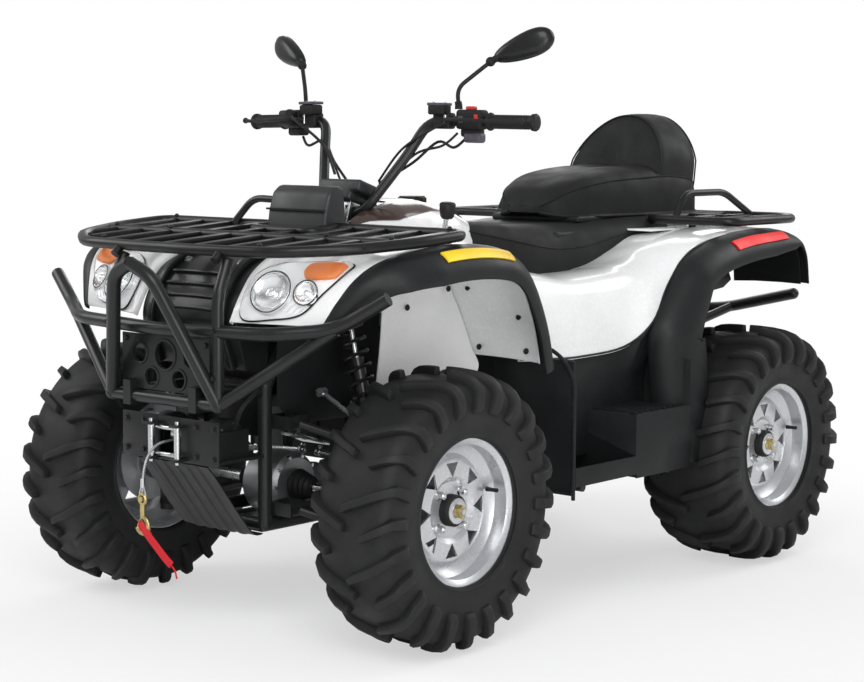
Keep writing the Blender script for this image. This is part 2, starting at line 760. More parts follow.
def addHub(end, side, body, sign):
    # wheel nuts, the axle nut in its seal, the valve and the balance weights
    size = hub[end]
    centre = Vector((sign * size["x"], size["y"], hub["height"]))
    out = Vector((sign, 0, 0))
    steel, brass, black = bmesh.new(), bmesh.new(), bmesh.new()
    for spot in ringSpots(centre + out * size["face"], hub["nutCircle"], 4, math.pi / 4):
        addRod(steel, spot - out * 0.001, spot + out * 0.004, 0.0115, 0.0095, 24)
        addRod(steel, spot + out * 0.003, spot + out * 0.016, 0.0085, sides=6)
        addRod(steel, spot + out * 0.016, spot + out * 0.019, 0.0068, 0.004, 20)
    boss = centre + out * (size["face"] + 0.024)
    addTurned(black, [(-0.026, 0.030), (-0.026, 0.0355), (-0.006, 0.0350), (-0.003, 0.0325),
                      (-0.002, 0.0275), (-0.006, 0.0270), (-0.026, 0.030)], boss, out, 40)
    addRod(steel, boss - out * 0.001, boss + out * 0.0018, 0.0185, sides=32)
    addRod(brass, boss + out * 0.001, boss + out * 0.0105, 0.0150, sides=6)
    addRod(brass, boss + out * 0.0105, boss + out * 0.0140, 0.0120, sides=24)
    addRod(steel, boss + out * 0.0135, boss + out * 0.0175, 0.0075, 0.0065, 20)
    addRod(brass, boss + out * 0.0120 + Vector((0, 0, 0.016)),
           boss + out * 0.0120 - Vector((0, 0, 0.016)), 0.0016, sides=10)
    valve = centre + Vector((sign * (size["face"] + 0.004), 0.1235, 0.030))
    addRod(black, valve, valve + out * 0.020, 0.0055, 0.0042, 16)
    addRod(black, valve + out * 0.020, valve + out * 0.030, 0.0046, sides=16)
    merged(black)
    name = f"{end}_{side}"
    keep(steel, f"{name}_wheel_nuts", "machined", body, recalc=False)
    keep(brass, f"{name}_axle_nut", "zincYellow", body, recalc=False)
    keep(black, f"{name}_hub_seal", "bootRubber", body)


for end in ("front", "rear"):
    for side in ("left", "right"):
        wheelBody = f"{end}_{side}_wheel"
        addTyre(end, side, wheelBody)
        addRim(end, side, wheelBody)
print("wheels")


# ---- front bumper

bumper = {
    "tube": 0.0155,
    "foot": (0.170, -0.990, 0.540),
    "hoop": (0, -1.084, 0.842),
    "wing": [(0, -1.008, 0.695), (0.300, -0.975, 0.700), (0.420, -0.890, 0.712),
             (0.530, -0.850, 0.782)],
    "plateLow": 0.556,
    "plateHigh": 0.678,
    "plateHoles": [(0, 0.636, 0.031), (-0.082, 0.636, 0.022), (0.082, 0.636, 0.022),
                   (-0.044, 0.585, 0.020), (0.044, 0.585, 0.020)],
    "plateY": -0.984,
}


def flip(points):
    # the same path on the other side
    return [(-p[0], p[1], p[2]) for p in points]


def bothTubes(bm, points, radius, bend=0.04, sides=16):
    addTube(bm, points, radius, bend, sides)
    addTube(bm, flip(points), radius, bend, sides)


def addBumper():
    bm = bmesh.new()
    r = bumper["tube"]
    foot = bumper["foot"]
    bothTubes(bm, [foot, (0.060, -1.078, 0.815), bumper["hoop"]], r, 0.05, 20)
    addTube(bm, flip(bumper["wing"])[::-1] + bumper["wing"][1:], r - 0.0005, 0.05, 20)
    bothTubes(bm, [foot, bumper["wing"][2]], r - 0.001, 0)
    addTube(bm, [(-foot[0], foot[1], foot[2]), foot], r - 0.0015, 0)
    bothTubes(bm, [(0.115, -0.986, 0.548), (0.115, -0.800, 0.548)], 0.013, 0)
    for x in (foot[0], -foot[0]):
        bottom = (x, -0.990, 0.555)
        addTube(bm, [bottom, (x, -0.990, 0.772), (x * 0.98, -0.955, 0.852)], r - 0.002, 0.03)
        addBall(bm, (x, foot[1], foot[2]), r + 0.001)
        for z in (0.600, 0.700):
            addRod(bm, (x, -1.008, z), (x, -0.972, z), 0.006, sides=6)
    # flanged brackets where the bars meet the nose
    for x in (0.105, -0.105):
        addBox(bm, (x - 0.012, -1.006, 0.520), (x + 0.012, -0.960, 0.575))
    keep(bm, "bumperTubes", "tubePaint", stands=("front_bumper",), recalc=False)


def addBumperPlate():
    bm = bmesh.new()
    low, high, y = bumper["plateLow"], bumper["plateHigh"], bumper["plateY"]
    addProfile(bm, [(-0.14, low), (0.14, low), (0.14, high), (-0.14, high)], y - 0.002,
               y + 0.002, "Y")
    plate = objectOf(bm, "cutPlate")
    cutter = bmesh.new()
    rings = bmesh.new()
    for x, z, r in bumper["plateHoles"]:
        addRod(cutter, (x, y - 0.02, z), (x, y + 0.02, z), r, sides=40)
        addSpun(rings, [(-0.0045, r - 0.0005), (-0.0045, r + 0.004), (0, r + 0.006),
                        (0.0035, r + 0.004), (0.0035, r - 0.0005)], (x, y, z), (0, 1, 0), 40)
    for x in (-0.128, 0.128):
        for z in (low + 0.012, high - 0.012):
            addRod(rings, (x, y - 0.007, z), (x, y + 0.003, z), 0.0065, sides=6)
    tool = objectOf(cutter, "cutTool")
    change = plate.modifiers.new("holes", "BOOLEAN")
    change.object = tool
    change.operation = "DIFFERENCE"
    change.solver = "EXACT"
    rings.from_mesh(evaluated(plate))
    bpy.data.objects.remove(plate)
    bpy.data.objects.remove(tool)
    keep(rings, "bumperPlate", "tubePaint", stands=("front_bumper",), smooth=30)


addBumper()
addBumperPlate()

# ---- racks

rack = {
    "y": -0.535,
    "z": 0.902,
    "slope": 4.15,
    "tube": 0.0125,
}


def rackSpot(x, y, up=0.0):
    # the front rack's deck falls toward the nose
    fall = math.radians(rack["slope"])
    return (x, rack["y"] + y * math.cos(fall), rack["z"] + y * math.sin(fall) + up)


def closedTube(bm, points, radius, bend, sides=16):
    # a closed loop starts half way along its first side
    points = [Vector(p) for p in points]
    middle = (points[0] + points[-1]) / 2
    addTube(bm, [middle] + points + [middle], radius, bend, sides)


def addFlatBar(bm, points, wide, thick):
    # a strap with soft edges laid between two points
    start, end = (Vector(p) for p in points)
    along = (end - start).normalized()
    side = along.cross(Vector((0, 0, 1))).normalized()
    up = side.cross(along)
    part = bmesh.new()
    addBox(part, (-0.5, -0.5, -0.5), (0.5, 0.5, 0.5))
    turn = Matrix((along, side, up)).transposed().to_4x4()
    size = Matrix.Diagonal(((end - start).length, wide, thick, 1))
    bmesh.ops.transform(part, matrix=Matrix.Translation((start + end) / 2) @ turn @ size,
                        verts=part.verts)
    faced(part)
    softEdges(part, thick * 0.3, 2)
    joined(bm, part)


def addFrontRack():
    bm = bmesh.new()
    half = [(0.110, -0.006), (0.488, -0.006), (0.488, -0.165), (0.430, -0.322),
            (0.300, -0.424), (0.100, -0.442)]
    loop = [rackSpot(x, y) for x, y in half] + [rackSpot(-x, y) for x, y in half[::-1]]
    closedTube(bm, loop, rack["tube"], 0.05, 20)
    addTube(bm, [rackSpot(-0.478, -0.205), rackSpot(0.478, -0.205)], rack["tube"] - 0.002, 0)
    for x in (0.05, 0.15, 0.25, 0.35, 0.44):
        near = -0.436 if x < 0.28 else -0.400 + (x - 0.28) * 0.60
        far = -0.014 if x > 0.12 else -0.100
        for side in (1, -1):
            addFlatBar(bm, [rackSpot(side * x, far), rackSpot(side * x, near)], 0.024, 0.013)
    addTube(bm, [rackSpot(-0.100, -0.006), rackSpot(-0.100, -0.092), rackSpot(0.100, -0.092),
                 rackSpot(0.100, -0.006)], rack["tube"] - 0.001, 0.03)
    for side in (1, -1):
        addTube(bm, [rackSpot(side * 0.16, -0.430, 0.004), rackSpot(side * 0.16, -0.455, -0.02)],
                rack["tube"] - 0.002, 0)
        addRod(bm, (side * 0.110, -0.658, 0.868), (side * 0.110, -0.658, 0.892), 0.010)
        for x, y in ((0.25, -0.205), (0.44, -0.205), (0.25, -0.41), (0.44, -0.012)):
            addBall(bm, rackSpot(side * x, y, 0.0115), 0.006, 10, 6)
    keep(bm, "frontRackTubes", "rackPaint", stands=("front_rack",), recalc=False)


def addRearRack():
    bm = bmesh.new()
    z = 0.894
    for side in (1, -1):
        ring = [(side * x, y, z) for x, y in [(0.208, 0.552), (0.479, 0.552), (0.479, 0.860),
                                             (0.405, 0.943), (0.208, 0.943)]]
        closedTube(bm, ring, rack["tube"] - 0.0005, 0.045, 18)
        addTube(bm, [(side * 0.208, 0.75, z), (side * 0.474, 0.75, z)], rack["tube"] - 0.003, 0)
        for x in (0.298, 0.388):
            addFlatBar(bm, [(side * x, 0.556, z), (side * x, 0.938, z)], 0.024, 0.013)
        addTube(bm, [(side * 0.298, 0.558, z + 0.004), (side * 0.298, 0.600, 0.963),
                     (side * 0.298, 0.794, 0.963), (side * 0.298, 0.934, z + 0.004)],
                0.0095, 0.035)
        for y in (0.64, 0.87):
            addRod(bm, (side * 0.298, y, 0.871), (side * 0.298, y, z - 0.004), 0.010)
    addTube(bm, [(-0.21, 0.930, z), (0.21, 0.930, z)], rack["tube"] - 0.001, 0)
    keep(bm, "rearRackTubes", "rackPaint", stands=("rear_rack",), recalc=False)


addFrontRack()
addRearRack()
print("bumper and racks made")

# ---- handlebar, controls and mirrors

bar = {
    "tube": 0.0125,
    "rise": (0.138, -0.334, 1.076),
    "top": (0.166, -0.298, 1.150),
    "grip": (0.456, -0.256, 1.146),
    "gripStart": 0.166,
}
barAlong = (Vector(bar["grip"]) - Vector(bar["top"])).normalized()
barBack = Vector((0, 0, 1)).cross(barAlong).normalized()


def barSpot(along, back=0.0, up=0.0):
    return Vector(bar["top"]) + barAlong * along + barBack * back + Vector((0, 0, up))


def middleOfBar():
    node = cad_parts["handlebar"]
    spots = [v.co for v in node.data.vertices if abs(v.co.x) < 0.075]
    middle = sum(spots, Vector()) / len(spots)
    return Vector((0, middle.y, middle.z))


def addBar():
    bm = bmesh.new()
    centre = middleOfBar()
    half = [centre + Vector((0.062, 0, 0)), Vector(bar["rise"]), Vector(bar["top"]),
            barSpot(0.17)]
    path = [Vector((-p.x, p.y, p.z)) for p in half[::-1]] + half
    addTube(bm, path, bar["tube"], 0.045, 20)
    for side in (-0.030, 0.030):
        spot = centre + Vector((side, 0, 0))
        addSpun(bm, bothEnds((0.012, 0.0126), (0.012, 0.020)), spot, (1, 0, 0), 28)
        for back in (-0.015, 0.015):
            bolt = spot + Vector((0, back, 0.012))
            addRod(bm, bolt, bolt + Vector((0, 0, 0.012)), 0.005, sides=6)
    keep(bm, "handlebarTube", "tubePaint", body="steering", stands=("handlebar",),
         recalc=False)


def addGrips():
    bm = bmesh.new()
    for side in (1, -1):
        part = bmesh.new()
        length = (Vector(bar["grip"]) - barSpot(bar["gripStart"])).length
        outline = [(0, 0.0129), (0, 0.0205), (0.003, 0.0215), (0.006, 0.0205), (0.008, 0.0168)]
        steps = 30
        for k in range(steps):
            at = 0.010 + (length - 0.026) * k / steps
            outline.append((at, 0.0158 if k % 2 else 0.0169))
        outline += [(length - 0.014, 0.0168), (length - 0.012, 0.0195), (length - 0.004, 0.0205),
                    (length - 0.001, 0.0185), (length, 0.012), (length, 0.0)]
        addTurned(part, outline, barSpot(bar["gripStart"]), barAlong, 36)
        merged(part)
        overTo(part, side)
        joined(bm, part)
    keep(bm, "gripSleeves", "grip", body="steering", stands=("handlebar",), smooth=50)


def orientedBox(bm, spot, size, width=0.004, side=1):
    # a soft block whose length follows the bar
    part = bmesh.new()
    addBox(part, (-size[0] / 2, -size[1] / 2, -size[2] / 2),
           (size[0] / 2, size[1] / 2, size[2] / 2))
    softEdges(part, width, 3)
    up = barAlong.cross(barBack).normalized()
    place = Matrix((barAlong, barBack, up)).transposed().to_4x4()
    bmesh.ops.transform(part, matrix=Matrix.Translation(spot) @ place, verts=part.verts)
    overTo(part, side)
    joined(bm, part)


def addControls():
    black, red, grey, metal = (bmesh.new() for _ in range(4))
    for side in (1, -1):
        orientedBox(black, barSpot(0.120, -0.002, 0.004), (0.070, 0.040, 0.046), 0.008, side)
        orientedBox(black, barSpot(0.118, 0.004, -0.026), (0.050, 0.034, 0.022), 0.007, side)
        orientedBox(black, barSpot(0.046, -0.006, 0.000), (0.046, 0.034, 0.038), 0.006, side)
        # brake fluid reservoir with its lid
        lid = 0.030 if side > 0 else 0.034
        grown = 1.0 if side > 0 else 1.12
        orientedBox(black, barSpot(0.040, -0.018, 0.026), (0.044 * grown, 0.038, 0.024), 0.005,
                    side)
        orientedBox(grey, barSpot(0.040, -0.018, lid + 0.0085), (0.046 * grown, 0.040, 0.007),
                    0.002, side)
        for along in (0.024, 0.056):
            screw = sided(barSpot(along, -0.018, lid + 0.012), side)
            addRod(metal, screw, screw + Vector((0, 0, 0.002)), 0.0028, sides=12)
        # lever blade in front of the grip
        root = barSpot(0.060, -0.024, 0.002)
        lever = [root, barSpot(0.095, -0.046, 0.004), barSpot(0.160, -0.056, 0.002),
                 barSpot(0.235, -0.052, 0.000), barSpot(0.275, -0.046, 0.002)]
        blade = bmesh.new()
        addRibbon(blade, lever, 0.013, 0.0085, (0, 0, 1), 26, 0.85)
        addBall(blade, lever[-1], 0.0075, 14, 10)
        faced(blade)
        overTo(blade, side)
        joined(black, blade)
        addRod(metal, sided(root + Vector((0, 0, -0.010)), side),
               sided(root + Vector((0, 0, 0.012)), side), 0.004, sides=12)
    # red stop switch and lower switch housing on the left
    orientedBox(red, barSpot(0.118, -0.002, 0.0305), (0.024, 0.016, 0.009), 0.003)
    orientedBox(red, barSpot(0.142, -0.022, 0.010), (0.010, 0.006, 0.012), 0.002)
    orientedBox(grey, barSpot(0.126, 0.000, -0.038), (0.046, 0.032, 0.024), 0.007)
    orientedBox(grey, barSpot(0.100, -0.021, 0.004), (0.014, 0.006, 0.016), 0.002)
    # throttle housing with its lever on the right
    orientedBox(black, barSpot(0.118, -0.030, 0.006), (0.052, 0.026, 0.040), 0.008, -1)
    orientedBox(black, barSpot(0.112, 0.026, 0.010), (0.060, 0.024, 0.028), 0.007, -1)
    knob = sided(barSpot(0.085, -0.046, 0.016), -1)
    addRod(black, knob, knob + Vector((0.004, -0.012, 0.002)), 0.012, 0.010, 24)
    thumb = sided(barSpot(0.146, 0.030, -0.012), -1)
    addRod(black, sided(barSpot(0.118, 0.022, -0.010), -1), thumb, 0.005, 0.004, 12)
    keepAll("hand_controls", {
        "controlBodies": (black, "grip"), "redSwitches": (red, "switchRed"),
        "greySwitches": (grey, "switchGrey"), "controlScrews": (metal, "machined"),
    }, body="steering", recalc=False)


def addCables():
    bm = bmesh.new()
    runs = [
        ([barSpot(0.10, 0.004, -0.040), barSpot(0.070, -0.002, -0.062),
          barSpot(0.020, 0.008, -0.050), (0.128, -0.312, 1.05), (0.050, -0.345, 1.00)], 0.0034),
        ([barSpot(0.075, -0.026, 0.000), barSpot(0.030, -0.040, -0.022), (0.120, -0.345, 1.080),
          (0.062, -0.360, 1.005)], 0.0030),
        ([barSpot(0.088, -0.014, -0.028), barSpot(0.050, -0.020, -0.058),
          (0.150, -0.330, 1.070), (0.070, -0.352, 0.995)], 0.0030),
    ]
    loop = [barSpot(0.085, -0.044, 0.010), barSpot(0.030, -0.075, 0.000),
            (0.120, -0.360, 1.09), (0.075, -0.365, 1.02)]
    for path, radius in runs:
        addHose(bm, path, radius, 24)
    for path, radius in runs[:2] + [(loop, 0.0035)]:
        addHose(bm, [sided(p, -1) for p in path], radius, 24)
    keep(bm, "controlCables", "bootRubber", body="steering", stands=("hand_controls",),
         recalc=False)


def addBarPad():
    bm = copyOf("handlebar_cover")
    softEdges(bm, 0.008, 4, 20)
    keep(bm, "barPad", "podGrey", body="steering", stands=("handlebar_cover",))


mirror = {
    "root": 0.082,
    "elbow": (0.246, -0.291, 1.225),
    "neck": (0.305, -0.241, 1.287),
    "middle": (0.380, -0.213, 1.322),
    "turn": 18.7,
    "lift": -21,
    "length": 0.156,
    "height": 0.088,
    "sides": 56,
}


def headPlace():
    place = Matrix.Translation(mirror["middle"])
    place = place @ Matrix.Rotation(math.radians(mirror["turn"]), 4, "Z")
    return place @ Matrix.Rotation(math.radians(mirror["lift"]), 4, "Y")


def teardrop(turn):
    # outline of the mirror head, narrow toward the stem
    x = math.cos(turn)
    half = 0.5 * mirror["length"]
    wide = mirror["height"] / 2 * (1.0 - 0.42 * (1 - x) / 2 - 0.10 * (1 - x * x))
    return Vector((x * half - 0.002, 0, math.sin(turn) * wide))


def mirrorRing(bm, size, along, depth):
    turns = [math.tau * k / mirror["sides"] for k in range(mirror["sides"])]
    return [bm.verts.new(teardrop(a) * size + Vector((along, depth, 0))) for a in turns]


def addMirrors():
    shell, glass, stem = bmesh.new(), bmesh.new(), bmesh.new()
    place = headPlace()
    for side in (1, -1):
        part = bmesh.new()
        rings = [mirrorRing(part, size, 0.005 * (1 - size), depth) for depth, size in (
            (0.009, 0.86), (0.012, 0.93), (0.011, 0.99), (0.004, 1.0), (-0.004, 0.955),
            (-0.011, 0.80), (-0.0145, 0.55), (-0.0155, 0.25))]
        addSkin(part, rings)
        part.faces.new(rings[-1])
        inner = mirrorRing(part, 0.86, 0.0007, 0.006)
        addSkin(part, [inner, rings[0]])
        part.faces.new(inner[::-1])
        pane = bmesh.new()
        rim = mirrorRing(pane, 0.855, 0.0007, 0.0085)
        made = bmesh.ops.extrude_face_region(pane, geom=[pane.faces.new(rim)])
        back = [g for g in made["geom"] if isinstance(g, bmesh.types.BMVert)]
        bmesh.ops.translate(pane, verts=back, vec=(0, -0.002, 0))
        for item in (part, pane):
            bmesh.ops.transform(item, matrix=place, verts=item.verts)
            if side < 0:
                for vert in item.verts:
                    vert.co.x *= -1
            faced(item)
        joined(shell, part)
        joined(glass, pane)
        root = barSpot(mirror["root"], 0, 0.0275)
        elbow, bend = Vector(mirror["elbow"]), Vector(mirror["neck"])
        path = [root + Vector((0, 0, 0.004)), elbow, bend, place @ Vector((-0.050, -0.002, 0))]
        addTube(stem, [sided(p, side) for p in path], 0.0052, 0.03, 16)
        addRod(stem, sided(root, side), sided(root + Vector((0, 0, 0.014)), side), 0.0095,
               0.008, 24)
        nut = sided(root + (elbow - root) * 0.25, side)
        lean = sided(elbow - root, side).normalized()
        addRod(stem, nut - lean * 0.006, nut + lean * 0.006, 0.009, sides=6)
        # rubber sleeve where the stem meets the head
        neck = sided(bend, side)
        head = sided(place @ Vector((-0.056, 0, 0)), side)
        addRod(stem, neck, head, 0.0075, 0.010, 20)
        addBall(stem, neck, 0.0115)
    keep(shell, "mirrorShells", "cowlBlack", body="steering", stands=("mirrors",), smooth=50,
         recalc=False)
    keepAll("mirrors", {"mirrorPanes": (glass, "mirrorGlass"), "mirrorStems": (stem, "grip")},
            body="steering", recalc=False)


addBar()
addGrips()
addControls()
addCables()
addBarPad()
addMirrors()
print("handlebar made")

# ---- front body

guard = {
    "side": [(-0.935, 0.716), (-0.908, 0.768), (-0.868, 0.820), (-0.805, 0.856),
             (-0.700, 0.878), (-0.570, 0.887), (-0.460, 0.880), (-0.395, 0.860),
             (-0.345, 0.818), (-0.305, 0.755), (-0.272, 0.680), (-0.252, 0.600)],
    "edge": [0.375, 0.400, 0.425, 0.447, 0.465, 0.470, 0.470, 0.470, 0.470, 0.470, 0.470,
             0.470],
    "flare": [0.30, 0.50, 0.74, 0.90, 1.0, 1.0, 1.0, 1.0, 1.0, 0.96, 0.92, 0.90],
    "inner": 0.152,
    "sweep": 0.26,
    "out": 0.074,
    "down": 0.060,
    "wall": 0.0035,
}
rear = {
    "side": [(0.262, 0.292), (0.258, 0.360), (0.252, 0.440), (0.244, 0.510), (0.236, 0.575),
             (0.240, 0.645), (0.296, 0.730), (0.360, 0.800), (0.453, 0.838),
             (0.572, 0.860), (0.700, 0.868), (0.800, 0.866), (0.850, 0.846), (0.874, 0.795),
             (0.884, 0.720)],
    "edge": 0.449,
    "out": 0.074,
    "down": 0.058,
    "fall": [1.55, 1.65, 1.8, 1.9, 1.9, 1.7, 1.35, 1.05, 1.0, 1.0, 0.95, 0.75, 0.45, 0.22, 0.15],
    "wall": 0.0035,
}


def along(values, t):
    # a number part way along a list
    at = min(max(t, 0), 0.99999) * (len(values) - 1)
    i = int(at)
    return values[i] + (values[i + 1] - values[i]) * (at - i)


def sideSpot(points, v):
    # a place on a side outline and the outward direction there, both in the YZ plane
    spots = [(0, y, z) for y, z in points]
    here = pathPoint(spots, v)
    ahead = pathPoint(spots, min(1, v + 0.01)) - pathPoint(spots, max(0, v - 0.01))
    return here, Vector((0, -ahead.z, ahead.y)).normalized()


def guardSpot(x, v, lift=0.0):
    here, out = sideSpot(guard["side"], v)
    back = guard["sweep"] * (x - 0.19) * max(0, 1 - v / 0.45)
    crown = -0.22 * max(0, x - 0.30) ** 2
    return Vector((x, here.y + back, here.z + crown)) + out * lift


def flareSpot(v, turn, lift=0.0):
    size = along(guard["flare"], v)
    edge = guardSpot(along(guard["edge"], v), v)
    out = sideSpot(guard["side"], v)[1]
    a = math.radians(turn)
    spot = edge + Vector((guard["out"] * size * math.sin(a), 0, 0))
    spot -= out * guard["down"] * size * (1 - math.cos(a))
    normal = Vector((math.sin(a), 0, 0)) + out * math.cos(a)
    return spot + normal * lift


def rearSpot(v, turn, lift=0.0):
    here, out = sideSpot(rear["side"], v)
    a = math.radians(turn)
    spot = Vector((rear["edge"] + rear["out"] * math.sin(a), here.y, here.z))
    spot -= out * rear["down"] * along(rear["fall"], v) * (1 - math.cos(a))
    return spot + (Vector((math.sin(a), 0, 0)) + out * math.cos(a)) * lift


def addPatch(bm, spot, v, turn, lift, depth, columns=16, rows=5):
    # a piece of a shell with its own thickness, such as a reflector
    top, low = ([[bm.verts.new(spot(v[0] + (v[1] - v[0]) * i / columns,
                                    turn[0] + (turn[1] - turn[0]) * k / rows, height))
                  for k in range(rows + 1)] for i in range(columns + 1)]
                for height in (lift, lift - depth))
    for i in range(columns):
        for k in range(rows):
            bm.faces.new((top[i][k], top[i + 1][k], top[i + 1][k + 1], top[i][k + 1]))
            bm.faces.new((low[i][k], low[i][k + 1], low[i + 1][k + 1], low[i + 1][k]))
    for i in range(columns):
        bm.faces.new((top[i][0], low[i][0], low[i + 1][0], top[i + 1][0]))
        bm.faces.new((top[i][rows], top[i + 1][rows], low[i + 1][rows], low[i][rows]))
    for k in range(rows):
        bm.faces.new((top[0][k], top[0][k + 1], low[0][k + 1], low[0][k]))
        bm.faces.new((top[columns][k], low[columns][k], low[columns][k + 1],
                      top[columns][k + 1]))


def shell(bm, spots, wall):
    # rows of points made into a closed shell of that wall, the points on its outer side
    rows, columns = len(spots), len(spots[0])
    normals = []
    for i in range(rows):
        line = []
        for k in range(columns):
            down = spots[min(rows - 1, i + 1)][k] - spots[max(0, i - 1)][k]
            across = spots[i][min(columns - 1, k + 1)] - spots[i][max(0, k - 1)]
            line.append(across.cross(down).normalized())
        normals.append(line)
    total = sum((n.z + 0.5 * n.x for line in normals for n in line))
    facing = 1 if total > 0 else -1
    outer = [[bm.verts.new(p) for p in row] for row in spots]
    inner = [[bm.verts.new(p - n * facing * wall) for p, n in zip(row, line)]
             for row, line in zip(spots, normals)]
    for i in range(rows - 1):
        for k in range(columns - 1):
            for side in (outer, inner):
                bm.faces.new((side[i][k], side[i][k + 1], side[i + 1][k + 1], side[i + 1][k]))
    for i in range(rows - 1):
        for k in (0, columns - 1):
            bm.faces.new((outer[i][k], inner[i][k], inner[i + 1][k], outer[i + 1][k]))
    for k in range(columns - 1):
        for i in (0, rows - 1):
            bm.faces.new((outer[i][k], outer[i][k + 1], inner[i][k + 1], inner[i][k]))
    faced(bm)
    return bm


def addGuards():
    bm = bmesh.new()
    spots = []
    for i in range(73):
        v = i / 72
        edge = along(guard["edge"], v)
        row = [guardSpot(guard["inner"], v, -0.016), guardSpot(guard["inner"] + 0.001, v, -0.004)]
        row += [guardSpot(guard["inner"] + 0.005 + (edge - guard["inner"] - 0.005) * k / 12, v)
                for k in range(13)]
        row += [guardSpot(edge + 0.003, v, -0.006)]
        spots.append(row)
    shell(bm, spots, guard["wall"])
    softEdges(bm, 0.0009, 2, 60)
    mirrored(bm)
    keep(bm, "frontGuardSkins", "glossWhite", stands=("front_guards",), smooth=50)


def addLiners():
    # the pale inner wall of each front arch with its fixing clips
    bm = bmesh.new()
    spots = []
    for i in range(33):
        v = 0.46 + 0.535 * i / 32
        top = guardSpot(0.25, v, -0.006)
        row = []
        for k in range(13):
            t = k / 12
            spot = top.lerp(Vector((0.25, -0.575 + (0.318 * i / 32), 0.548)), t)
            spot.x += 0.012 * math.sin(math.pi * t) + 0.030 * max(0, (v - 0.8) / 0.2) ** 2
            row.append(spot)
        spots.append(row)
    shell(bm, spots, 0.003)
    mirrored(bm)
    keep(bm, "archLiners", "linerWhite", stands=("front_guards",), smooth=50)
    clips = bmesh.new()
    for x, y, z, axis in ((0.268, -0.490, 0.725, (1, 0, 0)), (0.268, -0.345, 0.760, (1, 0, 0)),
                          (0.300, -0.312, 0.762, (0, -1, 0.4)),
                          (0.430, -0.285, 0.700, (0, -1, 0.3)),
                          (0.440, -0.268, 0.620, (0, -1, 0.2)),
                          (0.300, -0.268, 0.620, (0, -1, 0.2))):
        addTurned(clips, [(0, 0.0), (0, 0.0075), (0.002, 0.007), (0.004, 0.004), (0.0045, 0.0)],
                  (x, y, z), axis, 16)
    merged(clips)
    mirrored(clips)
    keep(clips, "archClips", "mouldedBlack", stands=("front_guards",))


def addFlares():
    bm = bmesh.new()
    spots = []
    for i in range(81):
        v = i / 80
        size = along(guard["flare"], v)
        row = [flareSpot(v, 0, 0.0005) - Vector((0.004, 0, 0))]
        row += [flareSpot(v, 90 * k / 12, 0.0010) for k in range(13)]
        out = sideSpot(guard["side"], v)[1]
        edge = row[-1]
        row += [edge - out * 0.012 * size, edge - out * 0.014 * size - Vector((0.006, 0, 0))]
        spots.append(row)
    shell(bm, spots, guard["wall"])
    softEdges(bm, 0.0008, 2, 60)
    mirrored(bm)
    keep(bm, "frontFlareSkins", "mouldedBlack", stands=("front_flares",), smooth=50)


lamp = {
    "outline": [(0.190, 0.722), (0.172, 0.762), (0.180, 0.808), (0.226, 0.832), (0.296, 0.838),
                (0.392, 0.842), (0.394, 0.824), (0.361, 0.782), (0.322, 0.738),
                (0.252, 0.724)],
    "amber": [(0.304, 0.833), (0.382, 0.838), (0.386, 0.828), (0.372, 0.812), (0.310, 0.808)],
    "bowl": (0.241, 0.777, 0.046),
    "second": (0.326, 0.779, 0.026),
}


def faceSpot(x, z, lift=0.0):
    # a place on the guard's sloping front face, found from its height
    low, high = 0.0, 0.30
    for halving in range(18):
        middle = (low + high) / 2
        if guardSpot(x, middle).z < z:
            low = middle
        else:
            high = middle
    spot = guardSpot(x, low)
    normal = (guardSpot(x + 0.01, low) - guardSpot(x - 0.01, low)).cross(
        guardSpot(x, min(1, low + 0.02)) - guardSpot(x, max(0, low - 0.02))).normalized()
    if normal.y > 0:
        normal = -normal
    return spot + normal * lift


def smoothRing(points, count):
    # evenly sampled closed outline with rounded corners
    closed = [Vector((x, z, 0)) for x, z in points]
    loop = closed[-1:] + closed + closed[:2]
    spots = []
    for i in range(count):
        t = (1 + len(closed) * i / count) / (len(loop) - 1)
        spots.append(pathPoint(loop, t))
    return spots


def addDome(bm, outline, levels, count=64):
    # rings of an outline shrunk toward its middle at given lifts, closed at the last
    ring = smoothRing(outline, count)
    middle = sum(ring, Vector()) / count
    rings = []
    for size, lift in levels:
        rings.append([bm.verts.new(faceSpot(*(middle + (p - middle) * size).xy, lift))
                      for p in ring])
    addSkin(bm, rings)
    addFan(bm, rings[-1], faceSpot(*middle.xy, levels[-1][1]))
    addFan(bm, rings[0], faceSpot(*middle.xy, -0.002))


